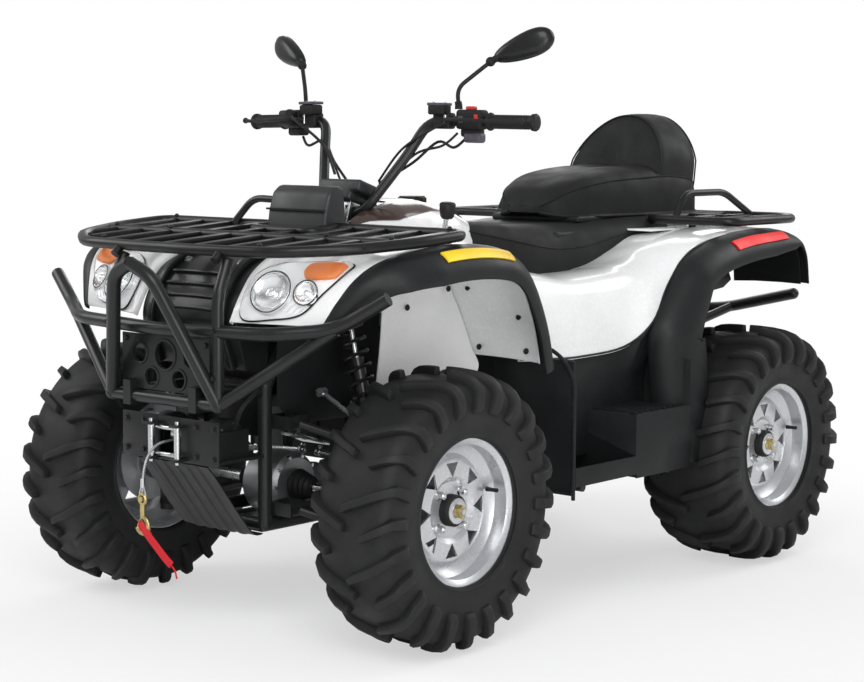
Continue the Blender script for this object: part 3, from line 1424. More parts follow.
def addHeadlights():
    back, cover, amber, bowl, seam = (bmesh.new() for _ in range(5))
    addDome(back, lamp["outline"], [(1.0, 0.0), (1.0, 0.004), (0.96, 0.0045), (0.6, 0.004),
                                    (0.2, 0.003)])
    addDome(cover, lamp["outline"], [(1.0, 0.0045), (0.985, 0.011), (0.93, 0.0165),
                                     (0.75, 0.021), (0.5, 0.023), (0.2, 0.0235)])
    addDome(amber, lamp["amber"], [(1.0, 0.0045), (0.97, 0.010), (0.8, 0.0125), (0.4, 0.013)],
            40)
    for key in ("bowl", "second"):
        x, z, r = lamp[key]
        centre = faceSpot(x, z, 0.004)
        normal = (faceSpot(x, z, 0.02) - faceSpot(x, z, 0.0)).normalized()
        addTurned(bowl, [(0.0, 0.0), (0.0012, r * 0.4), (0.004, r * 0.75), (0.0085, r * 0.96),
                         (0.0105, r), (0.0095, r + 0.0015), (0.0, r + 0.002)],
                  centre, normal, 44)
        addTurned(bowl, [(0.0, r * 0.30), (0.006, r * 0.28), (0.0085, r * 0.2), (0.009, 0.0)],
                  centre, normal, 24)
        addSpun(seam, [(0.0095, r + 0.0012), (0.0112, r + 0.0018), (0.0108, r + 0.0034),
                       (0.0085, r + 0.0034)], centre, normal, 44)
    merged(bowl)
    ring = smoothRing(lamp["outline"], 72)
    middle = sum(ring, Vector()) / 72
    rim = [faceSpot(*(middle + (p - middle) * 1.005).xy, 0.0035) for p in ring]
    addTube(seam, rim + rim[:1], 0.0022, 0, 10)
    for k in range(5):
        x = 0.292 + 0.014 * k
        spots = [faceSpot(x - 0.03 + 0.010 * i, 0.742 + 0.011 * i, 0.0058) for i in range(4)]
        addTube(back, spots, 0.0012, 0, 8)
    for bm, name, material in ((back, "lampBacks", "bulbGlass"), (cover, "lampCovers", "lampCover"),
                               (amber, "amberLenses", "amberLens"), (bowl, "lampBowls", "chrome"),
                               (seam, "lampSeams", "cowlBlack")):
        faced(bm)
        mirrored(bm)
        keep(bm, name, material, stands=("headlights",), smooth=50)


cowl = {
    "side": [(-0.900, 0.610), (-0.915, 0.660), (-0.925, 0.720), (-0.905, 0.772),
             (-0.865, 0.820), (-0.800, 0.850), (-0.700, 0.866), (-0.555, 0.876)],
    "half": 0.150,
    "rib": 0.106,
}


def cowlSpot(x, v, lift=0.0):
    here, out = sideSpot(cowl["side"], v)
    back = 0.55 * x * x * max(0, 1 - v / 0.8)
    return Vector((x, here.y + back, here.z - 0.25 * x * x)) + out * lift


def addCowl():
    bm = bmesh.new()
    spots = [[cowlSpot(-cowl["half"] + 2 * cowl["half"] * k / 20, i / 48) for k in range(21)]
             for i in range(49)]
    shell(bm, spots, 0.0035)
    for side in (1, -1):
        part = bmesh.new()

        def ribSpot(v, turn, lift):
            x = side * (cowl["rib"] + 0.018 * turn + 0.010 * (1 - v))
            return cowlSpot(x, v * 0.74, lift)

        addPatch(part, ribSpot, (0.0, 1.0), (-0.5, 0.5), 0.013, 0.014, 30, 4)
        faced(part)
        softEdges(part, 0.004, 3, 45)
        joined(bm, part)
    for v in (0.33, 0.40, 0.47, 0.54):
        part = bmesh.new()
        addPatch(part, lambda t, turn, lift: cowlSpot((t - 0.5) * 0.18, v + turn * 0.016, lift),
                 (0.0, 1.0), (-0.5, 0.5), 0.008, 0.010, 14, 2)
        faced(part)
        softEdges(part, 0.0018, 2, 45)
        joined(bm, part)
    keep(bm, "noseCowlSkin", "cowlBlack", stands=("nose_cowl",), smooth=45, recalc=False)
    bolt = bmesh.new()
    for x in (-0.085, 0.085):
        centre = cowlSpot(x, 0.64, 0.0)
        addRod(bolt, centre, cowlSpot(x, 0.64, 0.006), 0.006, sides=6)
        addRod(bolt, cowlSpot(x, 0.64, -0.002), cowlSpot(x, 0.64, 0.0015), 0.010, sides=24)
    keep(bolt, "noseBolts", "machined", stands=("nose_cowl",), recalc=False)


def addConsole():
    bm = bmesh.new()
    side = [(-0.584, 0.880), (-0.576, 0.940), (-0.562, 0.982), (-0.540, 0.998),
            (-0.515, 0.996), (-0.508, 0.960), (-0.505, 0.880)]
    addProfile(bm, side, -0.094, 0.094)
    faced(bm)
    softEdges(bm, 0.010, 4, 30)
    keep(bm, "instrumentPod", "podGrey", stands=("console",), smooth=35)
    detail = bmesh.new()
    addBox(detail, (-0.092, -0.5835, 0.940), (0.092, -0.5755, 0.9445))
    addTube(detail, [(-0.088, -0.548, 0.962), (-0.170, -0.548, 0.964), (-0.226, -0.556, 0.905)],
            0.0088, 0.03, 16)
    keep(detail, "podHoop", "tubePaint", stands=("console",), recalc=False)
    glass = bmesh.new()
    addBox(glass, (-0.070, -0.5105, 0.925), (0.070, -0.5035, 0.985))
    softEdges(glass, 0.003, 2)
    keep(glass, "podDisplay", "tankBrown", stands=("console",))


tank = {
    "keys": [  # y, then the width and height of the shoulder and the height of the top
        (-0.475, 0.070, 0.868, 0.900), (-0.43, 0.115, 0.880, 0.936), (-0.34, 0.140, 0.884, 0.956),
        (-0.24, 0.148, 0.884, 0.958), (-0.14, 0.140, 0.876, 0.940), (-0.06, 0.120, 0.860, 0.910),
        (-0.015, 0.100, 0.84, 0.880),
    ],
    "foot": 0.770,
    "notch": 0.30,
}


def notched(u, v):
    # the front edge lies further back in the middle, clear of the turning column
    depth = min(1, max(0, (0.13 - abs(u - 0.5)) / 0.05))
    return v + (1 - v) * tank["notch"] * depth * depth * (3 - 2 * depth)


def tankSpot(u, v, lift=0.0):
    # u runs from the lower left edge over the top to the lower right edge
    row = [Vector((0, y, 0)) for y, *_ in tank["keys"]]
    y = pathPoint(row, v).y
    wide, shoulder, top = (along([k[i] for k in tank["keys"]], v) for i in (1, 2, 3))
    half = [(1.0, tank["foot"]), (1.0, shoulder - 0.02), (0.97, shoulder),
            (0.86, shoulder + (top - shoulder) * 0.62), (0.55, top - 0.004)]
    line = [(-wide * x, 0, z) for x, z in half] + [(0, 0, top)]
    line += [(wide * x, 0, z) for x, z in half[::-1]]
    spot, ahead, behind = (pathPoint(line, t) for t in (u, min(1, u + 0.01), max(0, u - 0.01)))
    out = Vector((-(ahead - behind).z, 0, (ahead - behind).x)).normalized()
    return Vector((spot.x, y, spot.z)) + out * lift


def addTank():
    bm = bmesh.new()
    spots = [[tankSpot(k / 80, notched(k / 80, i / 30)) for k in range(81)] for i in range(31)]
    shell(bm, spots, 0.0035)
    keep(bm, "tankSkin", "glossWhite", stands=("tank_cover",), smooth=50)
    cap = bmesh.new()

    def crownSpot(v, u, lift):
        across = 0.5 + (u - 0.5) * (0.46 - 0.40 * abs(v - 0.30))
        return tankSpot(across, notched(across, v), lift)

    addPatch(cap, crownSpot, (0.06, 0.80), (0.0, 1.0), 0.0032, 0.006, 30, 40)
    keep(cap, "tankCrown", "tankBrown", stands=("tank_cover",), smooth=50)
    filler = bmesh.new()
    centre = tankSpot(0.5, 0.62, 0.003)
    addTurned(filler, [(0, 0.0), (0, 0.034), (0.012, 0.034), (0.017, 0.031), (0.018, 0.0)],
              centre, (0, 0, 1), 40)
    for k in range(12):
        a = math.tau * k / 12
        spot = centre + Vector((0.0335 * math.cos(a), 0.0335 * math.sin(a), 0.001))
        addRod(filler, spot, spot + Vector((0, 0, 0.012)), 0.003, sides=10)
    merged(filler)
    keep(filler, "fillerCap", "mouldedBlack", stands=("tank_cover",), recalc=False)


def addReflectors():
    yellow, red = bmesh.new(), bmesh.new()
    addPatch(yellow, flareSpot, (0.385, 0.585), (34, 58), 0.0050, 0.0045, 22, 4)
    addPatch(red, rearSpot, (0.615, 0.765), (36, 62), 0.0050, 0.0045, 22, 4)
    for bm in (yellow, red):
        softEdges(bm, 0.001, 2, 50)
        mirrored(bm)
    keepAll("side_reflectors", {"yellowReflectors": (yellow, "yellowLens"),
                                "redReflectors": (red, "redReflector")})


addGuards()
addLiners()
addFlares()
addHeadlights()
addCowl()
addConsole()
addTank()
addReflectors()
print("front body made")

# ---- side panels and rear body

flank = {
    "keys": [  # y, then x and z of five spots from the seat cover to the lower edge
        (-0.238, 0.225, 0.800, 0.320, 0.806, 0.384, 0.778, 0.398, 0.700, 0.398, 0.590),
        (-0.120, 0.235, 0.786, 0.325, 0.790, 0.388, 0.764, 0.402, 0.690, 0.402, 0.582),
        (0.000, 0.245, 0.772, 0.325, 0.776, 0.390, 0.752, 0.404, 0.680, 0.404, 0.579),
        (0.170, 0.255, 0.778, 0.335, 0.781, 0.392, 0.756, 0.408, 0.690, 0.410, 0.590),
        (0.240, 0.265, 0.787, 0.345, 0.790, 0.402, 0.764, 0.434, 0.716, 0.446, 0.650),
        (0.300, 0.275, 0.802, 0.345, 0.806, 0.400, 0.792, 0.432, 0.768, 0.447, 0.738),
        (0.370, 0.284, 0.830, 0.345, 0.834, 0.395, 0.828, 0.430, 0.818, 0.448, 0.806),
        (0.460, 0.290, 0.855, 0.345, 0.858, 0.395, 0.854, 0.430, 0.848, 0.448, 0.841),
        (0.600, 0.292, 0.869, 0.345, 0.871, 0.395, 0.869, 0.430, 0.866, 0.448, 0.861),
        (0.750, 0.292, 0.872, 0.345, 0.873, 0.395, 0.872, 0.430, 0.870, 0.448, 0.868),
        (0.835, 0.292, 0.862, 0.345, 0.862, 0.395, 0.860, 0.430, 0.857, 0.448, 0.854),
        (0.872, 0.292, 0.815, 0.345, 0.815, 0.395, 0.812, 0.430, 0.808, 0.448, 0.800),
        (0.882, 0.292, 0.722, 0.345, 0.722, 0.395, 0.722, 0.430, 0.722, 0.448, 0.722),
    ],
    "tuck": [  # x and z of the inner edge, under the tank cover and the saddle
        (0.150, 0.778), (0.124, 0.776), (0.124, 0.764), (0.188, 0.766), (0.198, 0.775),
        (0.206, 0.790), (0.216, 0.818), (0.226, 0.853), (0.270, 0.864), (0.288, 0.870),
        (0.288, 0.860), (0.288, 0.813), (0.288, 0.720),
    ],
    "deck": (0.292, 0.452, 0.930, 0.866, 0.871),
}


def flankSpot(u, v):
    # u runs along the vehicle, v from the inner edge under the seat to the lower edge
    keys = zip(flank["tuck"], flank["keys"])
    spots = [pathPoint([Vector((x, key[0], z)) for (x, z), key in keys], u)]
    for k in range(5):
        column = [Vector((key[1 + 2 * k], key[0], key[2 + 2 * k])) for key in flank["keys"]]
        spots.append(pathPoint(column, u))
    return pathPoint(spots, v)


def addFlanks():
    bm = bmesh.new()
    columns, rows = 96, 24
    spots = []
    for i in range(columns + 1):
        u = i / columns
        row = [flankSpot(u, k / rows) for k in range(rows + 1)]
        out = (flankSpot(u, 1) - flankSpot(u, 0.9)).normalized()
        row.append(row[-1] + out * 0.001 - Vector((0.006, 0, 0)))
        spots.append(row)
    shell(bm, spots, 0.0035)
    mirrored(bm)
    keep(bm, "flankSkins", "glossWhite", stands=("side_panels", "rear_body"), smooth=50)
    deck = bmesh.new()
    half, front, back, low, top = flank["deck"]
    addBox(deck, (-half, front, low), (half, back, top))
    addBox(deck, (-half, back - 0.004, 0.762), (half, back, top))
    faced(deck)
    softEdges(deck, 0.0015, 2)
    keep(deck, "rearDeck", "glossWhite", stands=("rear_body",), recalc=False)
    seam = bmesh.new()
    line = [flankSpot(i / 60, 0.985) + Vector((0.0015, 0, 0)) for i in range(60)]
    for side in (1, -1):
        addTube(seam, [(p.x * side, p.y, p.z) for p in line], 0.0028, 0, 8)
    keep(seam, "flankBeads", "mouldedBlack", stands=("side_panels",), recalc=False)


def addRearFlares():
    bm = bmesh.new()
    spots = []
    for i in range(81):
        v = i / 80
        out = sideSpot(rear["side"], v)[1]
        row = [rearSpot(v, 0, 0.001) - Vector((0.010, 0, 0))]
        row += [rearSpot(v, 90 * k / 12, 0.001) for k in range(13)]
        edge = row[-1]
        lip = 0.012 * along(rear["fall"], v)
        row += [edge - out * lip, edge - out * lip * 1.1 - Vector((0.006, 0, 0))]
        spots.append(row)
    shell(bm, spots, rear["wall"])
    softEdges(bm, 0.0008, 2, 60)
    # liner that closes the rear end and the arch's inner side
    liner = bmesh.new()
    spots = []
    for i in range(49):
        v = 0.30 + 0.70 * i / 48
        here, out = sideSpot(rear["side"], v)
        row = [Vector((0.300, here.y, here.z)) - out * 0.030,
               Vector((0.360, here.y, here.z)) - out * 0.014,
               Vector((0.440, here.y, here.z)) - out * 0.012,
               Vector((0.505, here.y, here.z)) - out * (0.014 + 0.044 * along(rear["fall"], v))]
        spots.append(row)
    shell(liner, spots, 0.0025)
    joined(bm, liner)
    mirrored(bm)
    keep(bm, "rearFlareSkins", "mouldedBlack", stands=("rear_flares",), smooth=50)
    wall = bmesh.new()
    outline = [(0.385, 0.560), (0.385, 0.640), (0.430, 0.735), (0.520, 0.790), (0.700, 0.806),
               (0.800, 0.790), (0.840, 0.720), (0.800, 0.700), (0.700, 0.690), (0.560, 0.660),
               (0.470, 0.560)]
    addProfile(wall, outline, 0.296, 0.300)
    faced(wall)
    softEdges(wall, 0.0012, 2)
    mirrored(wall)
    keep(wall, "rearInnerWalls", "mouldedBlack", stands=("rear_flares",))


step = {
    "outer": 0.526,
    "front": 0.0575,
    "ribs": [  # first rib, how many, outer end, underside and top
        (-0.170, 9, 0.510, 0.3045, 0.309), (0.075, 8, 0.512, 0.4445, 0.449),
    ],
}


def addStepPanels():
    # footboards, raised steps and the walls round them
    bm = copyOf("footwells")
    softEdges(bm, 0.0018, 2, 40)
    keep(bm, "footwellTubs", "mouldedBlack", stands=("footwells",), smooth=35)
    ribs = bmesh.new()
    for side in (1, -1):
        for first, count, outer, low, top in step["ribs"]:
            for k in range(count):
                y = first + 0.025 * k
                part = roundBox((0.225, y, low), (outer, y + 0.010, top), 0.0014, 2)
                for vert in part.verts:
                    vert.co.x *= side
                joined(ribs, part)
    faced(ribs)
    keep(ribs, "footboardRibs", "mouldedBlack", stands=("footwells",), recalc=False)
    panel = bmesh.new()
    spots = []
    for i in range(13):
        # the step's outer side, its lower rear corner cut back for the wheel
        z = 0.292 + (0.447 - 0.292) * i / 12
        back = 0.285 + 0.020 * min(1, i / 4)
        front, outer = step["front"], step["outer"]
        row = [Vector((outer - 0.020 * (1 - k / 3), front, z)) for k in range(3)]
        row += [Vector((outer + 0.003, front + (back - front) * k / 9, z)) for k in range(10)]
        spots.append(row)
    shell(panel, spots, 0.004)
    mirrored(panel)
    keep(panel, "stepSides", "mouldedBlack", stands=("footwells",), smooth=40)
    # wall below the white panel with its rounded front corner
    wall = bmesh.new()
    spots = []
    for i in range(41):
        edge = flankSpot(0.02 + 0.397 * i / 40, 1)
        y = max(-0.192, edge.y)
        spots.append([Vector((0.385, y, 0.335)), Vector((0.388, y, 0.44)),
                      Vector((0.392, y, 0.52)), Vector((edge.x - 0.006, y, edge.z - 0.012)),
                      Vector((edge.x - 0.009, y, edge.z + 0.004))])
    shell(wall, spots, 0.003)
    mirrored(wall)
    keep(wall, "lowerSideWalls", "mouldedBlack", stands=("footwells",), smooth=45)
    flap = bmesh.new()
    joined(flap, roundBox((0.292, -0.2005, 0.292), (0.528, -0.1945, 0.598), 0.0022, 2))
    rod = [(0.5305, -0.2005, 0.272), (0.5305, -0.2005, 0.560), (0.500, -0.215, 0.612),
           (0.440, -0.232, 0.640)]
    addTube(flap, rod, 0.0048, 0.03, 12)
    mirrored(flap)
    keep(flap, "mudFlaps", "mouldedBlack", stands=("footwells",), recalc=False)


def addTailLights():
    red, rim = bmesh.new(), bmesh.new()
    for side in (1, -1):
        part = roundBox((0.124, 0.934, 0.804), (0.246, 0.949, 0.846), 0.006, 4)
        edge = roundBox((0.118, 0.9303, 0.798), (0.252, 0.940, 0.852), 0.005, 3)
        for piece, target in ((part, red), (edge, rim)):
            for vert in piece.verts:
                vert.co.x *= side
            faced(piece)
            joined(target, piece)
    keepAll("tail_lights", {"tailLenses": (red, "redLens"), "tailHousings": (rim, "cowlBlack")},
            recalc=False)


addFlanks()
addRearFlares()
addStepPanels()
addTailLights()
print("rear body made")

# ---- seats

seat = {
    "saddle": [  # y, height of the top, half width, height of the lower edge
        (-0.160, 0.897, 0.060, 0.868), (-0.120, 0.905, 0.105, 0.838),
        (-0.050, 0.907, 0.142, 0.795), (0.050, 0.900, 0.172, 0.745),
        (0.170, 0.890, 0.195, 0.700), (0.280, 0.888, 0.212, 0.712),
        (0.400, 0.895, 0.226, 0.765), (0.520, 0.900, 0.236, 0.812),
        (0.610, 0.900, 0.240, 0.850),
    ],
    "cushion": [
        (0.285, 0.930, 0.050, 0.912), (0.300, 0.955, 0.085, 0.906), (0.335, 0.984, 0.112, 0.902),
        (0.405, 1.010, 0.140, 0.902), (0.490, 1.024, 0.154, 0.902), (0.600, 1.032, 0.164, 0.902),
        (0.740, 1.036, 0.166, 0.902), (0.850, 1.020, 0.164, 0.902), (0.872, 0.985, 0.150, 0.906),
    ],
    "back": {"half": 0.157, "low": 0.950, "top": 1.176, "front": 0.652, "deep": 0.225,
             "lean": 0.110},
}


def cushionSpot(keys, u, v):
    # u goes round the section from one lower edge over the top to the other
    y, top = pathPoint([(0, k[0], k[1]) for k in keys], v).yz
    wide, low = pathPoint([(0, k[2], k[3]) for k in keys], v).yz
    a = math.pi * u
    x = -math.cos(a)
    z = math.sin(a)
    square = 0.42  # below 1 it squares the section off
    x = math.copysign(abs(x) ** square, x)
    z = z ** square if z > 0 else 0
    return Vector((x * wide, y, low + (top - low) * z))


def softForm(keys, columns=40, rows=28):
    bm = bmesh.new()
    rings = []
    for i in range(rows + 1):
        v = i / rows
        rings.append([bm.verts.new(cushionSpot(keys, k / columns, v))
                      for k in range(columns + 1)])
    addSkin(bm, rings)
    for ring in (rings[0], rings[-1]):
        bm.faces.new(ring)
    bmesh.ops.triangulate(bm, faces=[f for f in bm.faces if len(f.verts) > 4])
    faced(bm)
    return bm


def seamLine(keys, u, start, side, shift):
    # the path of a welt along a cushion, moved by a small step off its skin
    line = []
    for i in range(37):
        spot = cushionSpot(keys, u, start + (1 - 2 * start) * i / 36)
        spot.x *= -side
        line.append(spot + sided(shift, side))
    return line


def addSaddle():
    bm = softForm(seat["saddle"])
    # a shallow dish where the rider sits and a welt along each side
    for vert in bm.verts:
        x, y = vert.co.xy
        dish = max(0, 1 - ((y - 0.06) / 0.16) ** 2) * max(0, 1 - (x / 0.14) ** 2)
        vert.co.z -= 0.010 * dish
    piece = keep(bm, "riderSaddle", "seatVinyl", stands=("rider_seat",), smooth=60)
    welt = bmesh.new()
    for side in (1, -1):
        upper = seamLine(seat["saddle"], 0.13, 0.03, side, (0.0005, 0, 0.0005))
        lower = seamLine(seat["saddle"], 0.0, 0.02, side, (-0.003, 0, 0.002))
        addTube(welt, upper, 0.0024, 0, 8)
        addTube(welt, lower, 0.0055, 0, 10)
    keep(welt, "saddleWelts", "seatVinyl", stands=("rider_seat",), recalc=False)
    base = bmesh.new()
    for front, back, half, low in ((-0.135, 0.20, 0.120, 0.735), (0.19, 0.60, 0.180, 0.768)):
        joined(base, roundBox((-half, front, low), (half, back, 0.870), 0.010, 3))
    keep(base, "saddlePan", "mouldedBlack", stands=("rider_seat",), recalc=False)


def backSpot(turn, depth, size):
    # turn goes round the pad's outline, depth from the front face to the back one
    back = seat["back"]
    height = back["top"] - back["low"]
    x, z = math.cos(turn), math.sin(turn)
    power = 0.92 if z > 0 else 0.30
    x = math.copysign(abs(x) ** power, x) * back["half"]
    z = math.copysign(abs(z) ** power, z)
    x *= 1 - 0.24 * max(0, z)
    middle = back["low"] + height * 0.42
    z = middle + z * (height * 0.58 if z > 0 else height * 0.50)
    x *= size
    z = middle + (z - middle) * size
    rise = (z - back["low"]) / height
    thin = 1 - 0.38 * max(0, min(1, rise))
    y = back["front"] + back["lean"] * rise + depth * back["deep"] * thin
    return Vector((x, y, z))


def addBackrest():
    bm = bmesh.new()
    count = 64
    levels = [(0.060, 0.16), (0.030, 0.40), (0.012, 0.62), (0.0, 0.80), (0.012, 0.92),
              (0.060, 0.98), (0.20, 1.0), (0.50, 1.0), (0.80, 1.0), (0.93, 0.975),
              (0.985, 0.90), (1.0, 0.75), (1.0, 0.45), (1.0, 0.18)]
    rings = [[bm.verts.new(backSpot(math.tau * k / count, depth, size)) for k in range(count)]
             for depth, size in levels]
    addSkin(bm, rings)
    for ring in (rings[0], rings[-1]):
        addFan(bm, ring, sum((v.co for v in ring), Vector()) / count)
    faced(bm)
    for vert in bm.verts:
        # crease across the pad where the cover is pulled in
        fold = math.exp(-((vert.co.z - 1.062) / 0.006) ** 2)
        if vert.co.y < 0.73:
            vert.co.y += 0.004 * fold
    piece = keep(bm, "backrestPad", "seatVinyl", stands=("passenger_seat",), smooth=60)
    finer = piece.modifiers.new("subsurf", "SUBSURF")
    finer.levels = finer.render_levels = 1
    welt = bmesh.new()
    for depth, size in ((0.030, 0.958), (0.955, 0.958)):
        line = [backSpot(math.tau * k / 96, depth, size) for k in range(97)]
        addTube(welt, line, 0.0024, 0, 8)
    keep(welt, "backrestWelts", "seatVinyl", stands=("passenger_seat",), recalc=False)
    stay = bmesh.new()
    for side in (1, -1):
        addTube(stay, [(side * 0.100, 0.835, 0.880), (side * 0.100, 0.850, 0.98),
                       (side * 0.100, 0.820, 1.08)], 0.010, 0.04)
    keep(stay, "backrestStays", "rackPaint", stands=("passenger_seat",), recalc=False)


def addCushion():
    bm = softForm(seat["cushion"])
    for vert in bm.verts:
        x, y, z = vert.co
        if z > 0.93:
            vert.co.z -= 0.004 * math.exp(-(x / 0.010) ** 2) * (1 if y > 0.3 else 0.3)
            vert.co.z -= 0.004 * math.exp(-((y - 0.62) / 0.010) ** 2)
    piece = keep(bm, "passengerCushion", "seatVinyl", stands=("passenger_seat",), smooth=60)
    welt = bmesh.new()
    for side in (1, -1):
        for u, radius, out in ((0.17, 0.0024, 0.0), (0.0, 0.006, -0.002)):
            line = seamLine(seat["cushion"], u, 0.02, side, (out, 0, 0.001))
            addTube(welt, line, radius, 0, 8)
    keep(welt, "cushionWelts", "seatVinyl", stands=("passenger_seat",), recalc=False)
    pan = bmesh.new()
    joined(pan, roundBox((-0.145, 0.330, 0.8865), (0.145, 0.862, 0.9045), 0.006, 3))
    joined(pan, roundBox((-0.120, 0.455, 0.872), (0.120, 0.850, 0.892), 0.004, 2))
    keep(pan, "cushionPan", "mouldedBlack", stands=("passenger_seat",), recalc=False)


addSaddle()
addCushion()
addBackrest()
print("seats made")

# ---- winch

winch = {
    "drum": (-0.895, 0.450),
    "plate": -0.975,
    "roller": 0.042,
}


def addWinch():
    dark, bright = bmesh.new(), bmesh.new()
    y, z = winch["drum"]
    for side in (1, -1):
        addTurned(dark, [(0.060, 0.0), (0.060, 0.043), (0.064, 0.046), (0.100, 0.046),
                         (0.106, 0.042), (0.108, 0.030), (0.108, 0.0)], (0, y, z),
                  (side, 0, 0), 40)
        for spot in ringSpots((side * 0.107, y, z), 0.036, 6, 0.3):
            addRod(bright, spot, spot + Vector((side * 0.003, 0, 0)), 0.003, sides=6)
    # drum with the rope wound on it
    turns = [(0.026 + 0.0025 * (k % 2), x) for k, x in enumerate(range(-56, 57, 3))]
    outline = [(-0.060, 0.0)] + [(x / 1000, r) for r, x in turns] + [(0.060, 0.0)]
    addTurned(bright, outline, (0, y, z), (1, 0, 0), 36)
    merged(bright)
    merged(dark)
    py = winch["plate"]
    joined(dark, roundBox((-0.130, py + 0.004, 0.4015), (0.130, -0.803, 0.4085), 0.002))
    for x in (-0.112, 0.112):
        joined(dark, roundBox((x - 0.004, -0.945, 0.402), (x + 0.004, -0.845, 0.470), 0.002))
    # fairlead plate with its window, its side rollers and its cross rollers
    plate = bmesh.new()
    for low, high in (((-0.155, py, 0.402), (-0.036, py + 0.006, 0.500)),
                      ((0.036, py, 0.402), (0.155, py + 0.006, 0.500)),
                      ((-0.037, py, 0.402), (0.037, py + 0.006, 0.419)),
                      ((-0.037, py, 0.473), (0.037, py + 0.006, 0.500))):
        addBox(plate, low, high)
    faced(plate)
    softEdges(plate, 0.001, 2)
    joined(dark, plate)
    for x in (-0.140, -0.085, 0.085, 0.140):
        for h in (0.418, 0.484):
            addRod(dark, (x, py - 0.005, h), (x, py + 0.001, h), 0.0055, sides=6)
            addRod(dark, (x, py - 0.0012, h), (x, py + 0.0005, h), 0.009, sides=24)
    for side in (1, -1):
        x = side * winch["roller"]
        addTurned(bright, bothEnds((0.048, 0.0), (0.048, 0.0050), (0.041, 0.0052),
                                   (0.040, 0.0074)), (x, py - 0.016, 0.446), (0, 0, 1), 28)
        for h in (0.408, 0.484):
            joined(dark, roundBox((x - 0.013, py - 0.030, h - 0.003),
                                  (x + 0.013, py + 0.001, h + 0.003), 0.0012))
    for h in (0.4165, 0.4755):
        addTurned(bright, bothEnds((0.034, 0.0), (0.034, 0.0042), (0.032, 0.0052)),
                  (0, py - 0.008, h), (1, 0, 0), 24)
    merged(bright)
    cable = bmesh.new()
    for x in (0.118, 0.124):
        path = [(x, y, 0.475), (x + 0.018, y + 0.005, 0.520), (x + 0.012, y + 0.060, 0.560),
                (0.060, y + 0.150, 0.600)]
        addHose(cable, path, 0.0032, 20, 10)
    keepAll("winch", {
        "winchBody": (dark, "framePaint"), "winchMetal": (bright, "machined"),
        "winchCables": (cable, "bootRubber"),
    }, recalc=False)


# ---- suspension

shockSizes = {
    "foot": 0.285,
    "top": (0.205, 0.765),
    "wire": 0.0046,
    "coil": 0.0275,
    "turns": 8.5,
}


def addHelix(bm, start, end, radius, wire, turns, sides=10):
    start, end = Vector(start), Vector(end)
    along = (end - start).normalized()
    side = along.orthogonal().normalized()
    other = along.cross(side)
    count = int(turns * 22)
    path = []
    for i in range(count + 1):
        t = i / count
        a = math.tau * turns * t
        rise = min(1, max(0, (t * turns - 0.8) / (turns - 1.6)))
        path.append(start + (end - start) * (0.02 + 0.96 * (0.06 * t + 0.94 * rise))
                    + side * radius * math.cos(a) + other * radius * math.sin(a))
    addTube(bm, path, wire, 0, sides)


def addShocks():
    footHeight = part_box("shock_absorbers")[0][2] + 0.015
    black, bright, rubber = bmesh.new(), bmesh.new(), bmesh.new()
    for side in (1, -1):
        for y in (-0.635, 0.635):
            foot = Vector((side * shockSizes["foot"], y, footHeight))
            top = Vector((side * shockSizes["top"][0], y, shockSizes["top"][1]))
            run = top - foot
            along = run.normalized()
            addRod(black, foot + along * 0.012, foot + run * 0.52, 0.0165, sides=28)
            addRod(bright, foot + run * 0.50, top - along * 0.045, 0.0065, sides=20)
            addRod(black, top - along * 0.070, top - along * 0.012, 0.0155, 0.018, 28)
            for t in (0.13, 0.855):
                addTurned(black, [(-0.003, 0.0), (-0.003, 0.0275), (0.0, 0.0315),
                                  (0.004, 0.0315), (0.006, 0.0285), (0.006, 0.0)],
                          foot + run * t, along, 32)
            addHelix(black, foot + run * 0.145, foot + run * 0.84, shockSizes["coil"],
                     shockSizes["wire"], shockSizes["turns"])
            for spot in (foot, top):
                addTurned(rubber, [(-0.017, 0.0052), (-0.017, 0.0125), (0.017, 0.0125),
                                   (0.017, 0.0052), (-0.017, 0.0052)], spot, (0, 1, 0), 28)
                addSpun(black, bothEnds((0.013, 0.0122), (0.013, 0.0150)), spot,
                        (0, 1, 0), 28)
                for start, end, radius, sides in ((-0.026, 0.026, 0.0048, 12),
                                                  (0.018, 0.026, 0.0085, 6),
                                                  (-0.026, -0.019, 0.0085, 6)):
                    addRod(bright, spot + Vector((0, start, 0)), spot + Vector((0, end, 0)),
                           radius, sides=sides)
    merged(rubber)
    keepAll("shock_absorbers", {
        "shockSprings": (black, "springBlack"), "shockRods": (bright, "machined"),
        "shockBushes": (rubber, "bootRubber"),
    }, recalc=False)


def addSoftCopy(name, node, material, body="chassis", width=0.0015, angle=35):
    bm = copyOf(node)
    faced(bm)
    softEdges(bm, width, 2, angle)
    return keep(bm, name, material, body, (node,), 38)


def addArmDetail():
    # pivot bolts, ball joint caps and brake hoses
    bright, rubber = bmesh.new(), bmesh.new()
    for side in (1, -1):
        for x, y in ((0.385, -0.635), (0.364, 0.635)):
            for z in (0.225, 0.395):
                addRod(rubber, (side * x, y, z - 0.012), (side * x, y, z + 0.012), 0.0195, 0.016,
                       24)
    for side in (1, -1):
        path = [(side * 0.12, -0.56, 0.60), (side * 0.20, -0.555, 0.56),
                (side * 0.285, -0.575, 0.49), (side * 0.330, -0.605, 0.43),
                (side * 0.345, -0.628, 0.400)]
        addHose(rubber, path, 0.0045, 20)
        # bright link in front of each shock absorber
        addRod(bright, (side * 0.200, -0.700, 0.545), (side * 0.312, -0.700, 0.492), 0.006,
               sides=16)
        for x, z in ((0.200, 0.545), (0.312, 0.492)):
            addRod(bright, (side * x, -0.710, z), (side * x, -0.690, z), 0.010, sides=20)
    keepAll("suspension_arms", {
        "brakeHoses": (rubber, "bootRubber"), "swayLinks": (bright, "machined"),
    }, recalc=False)


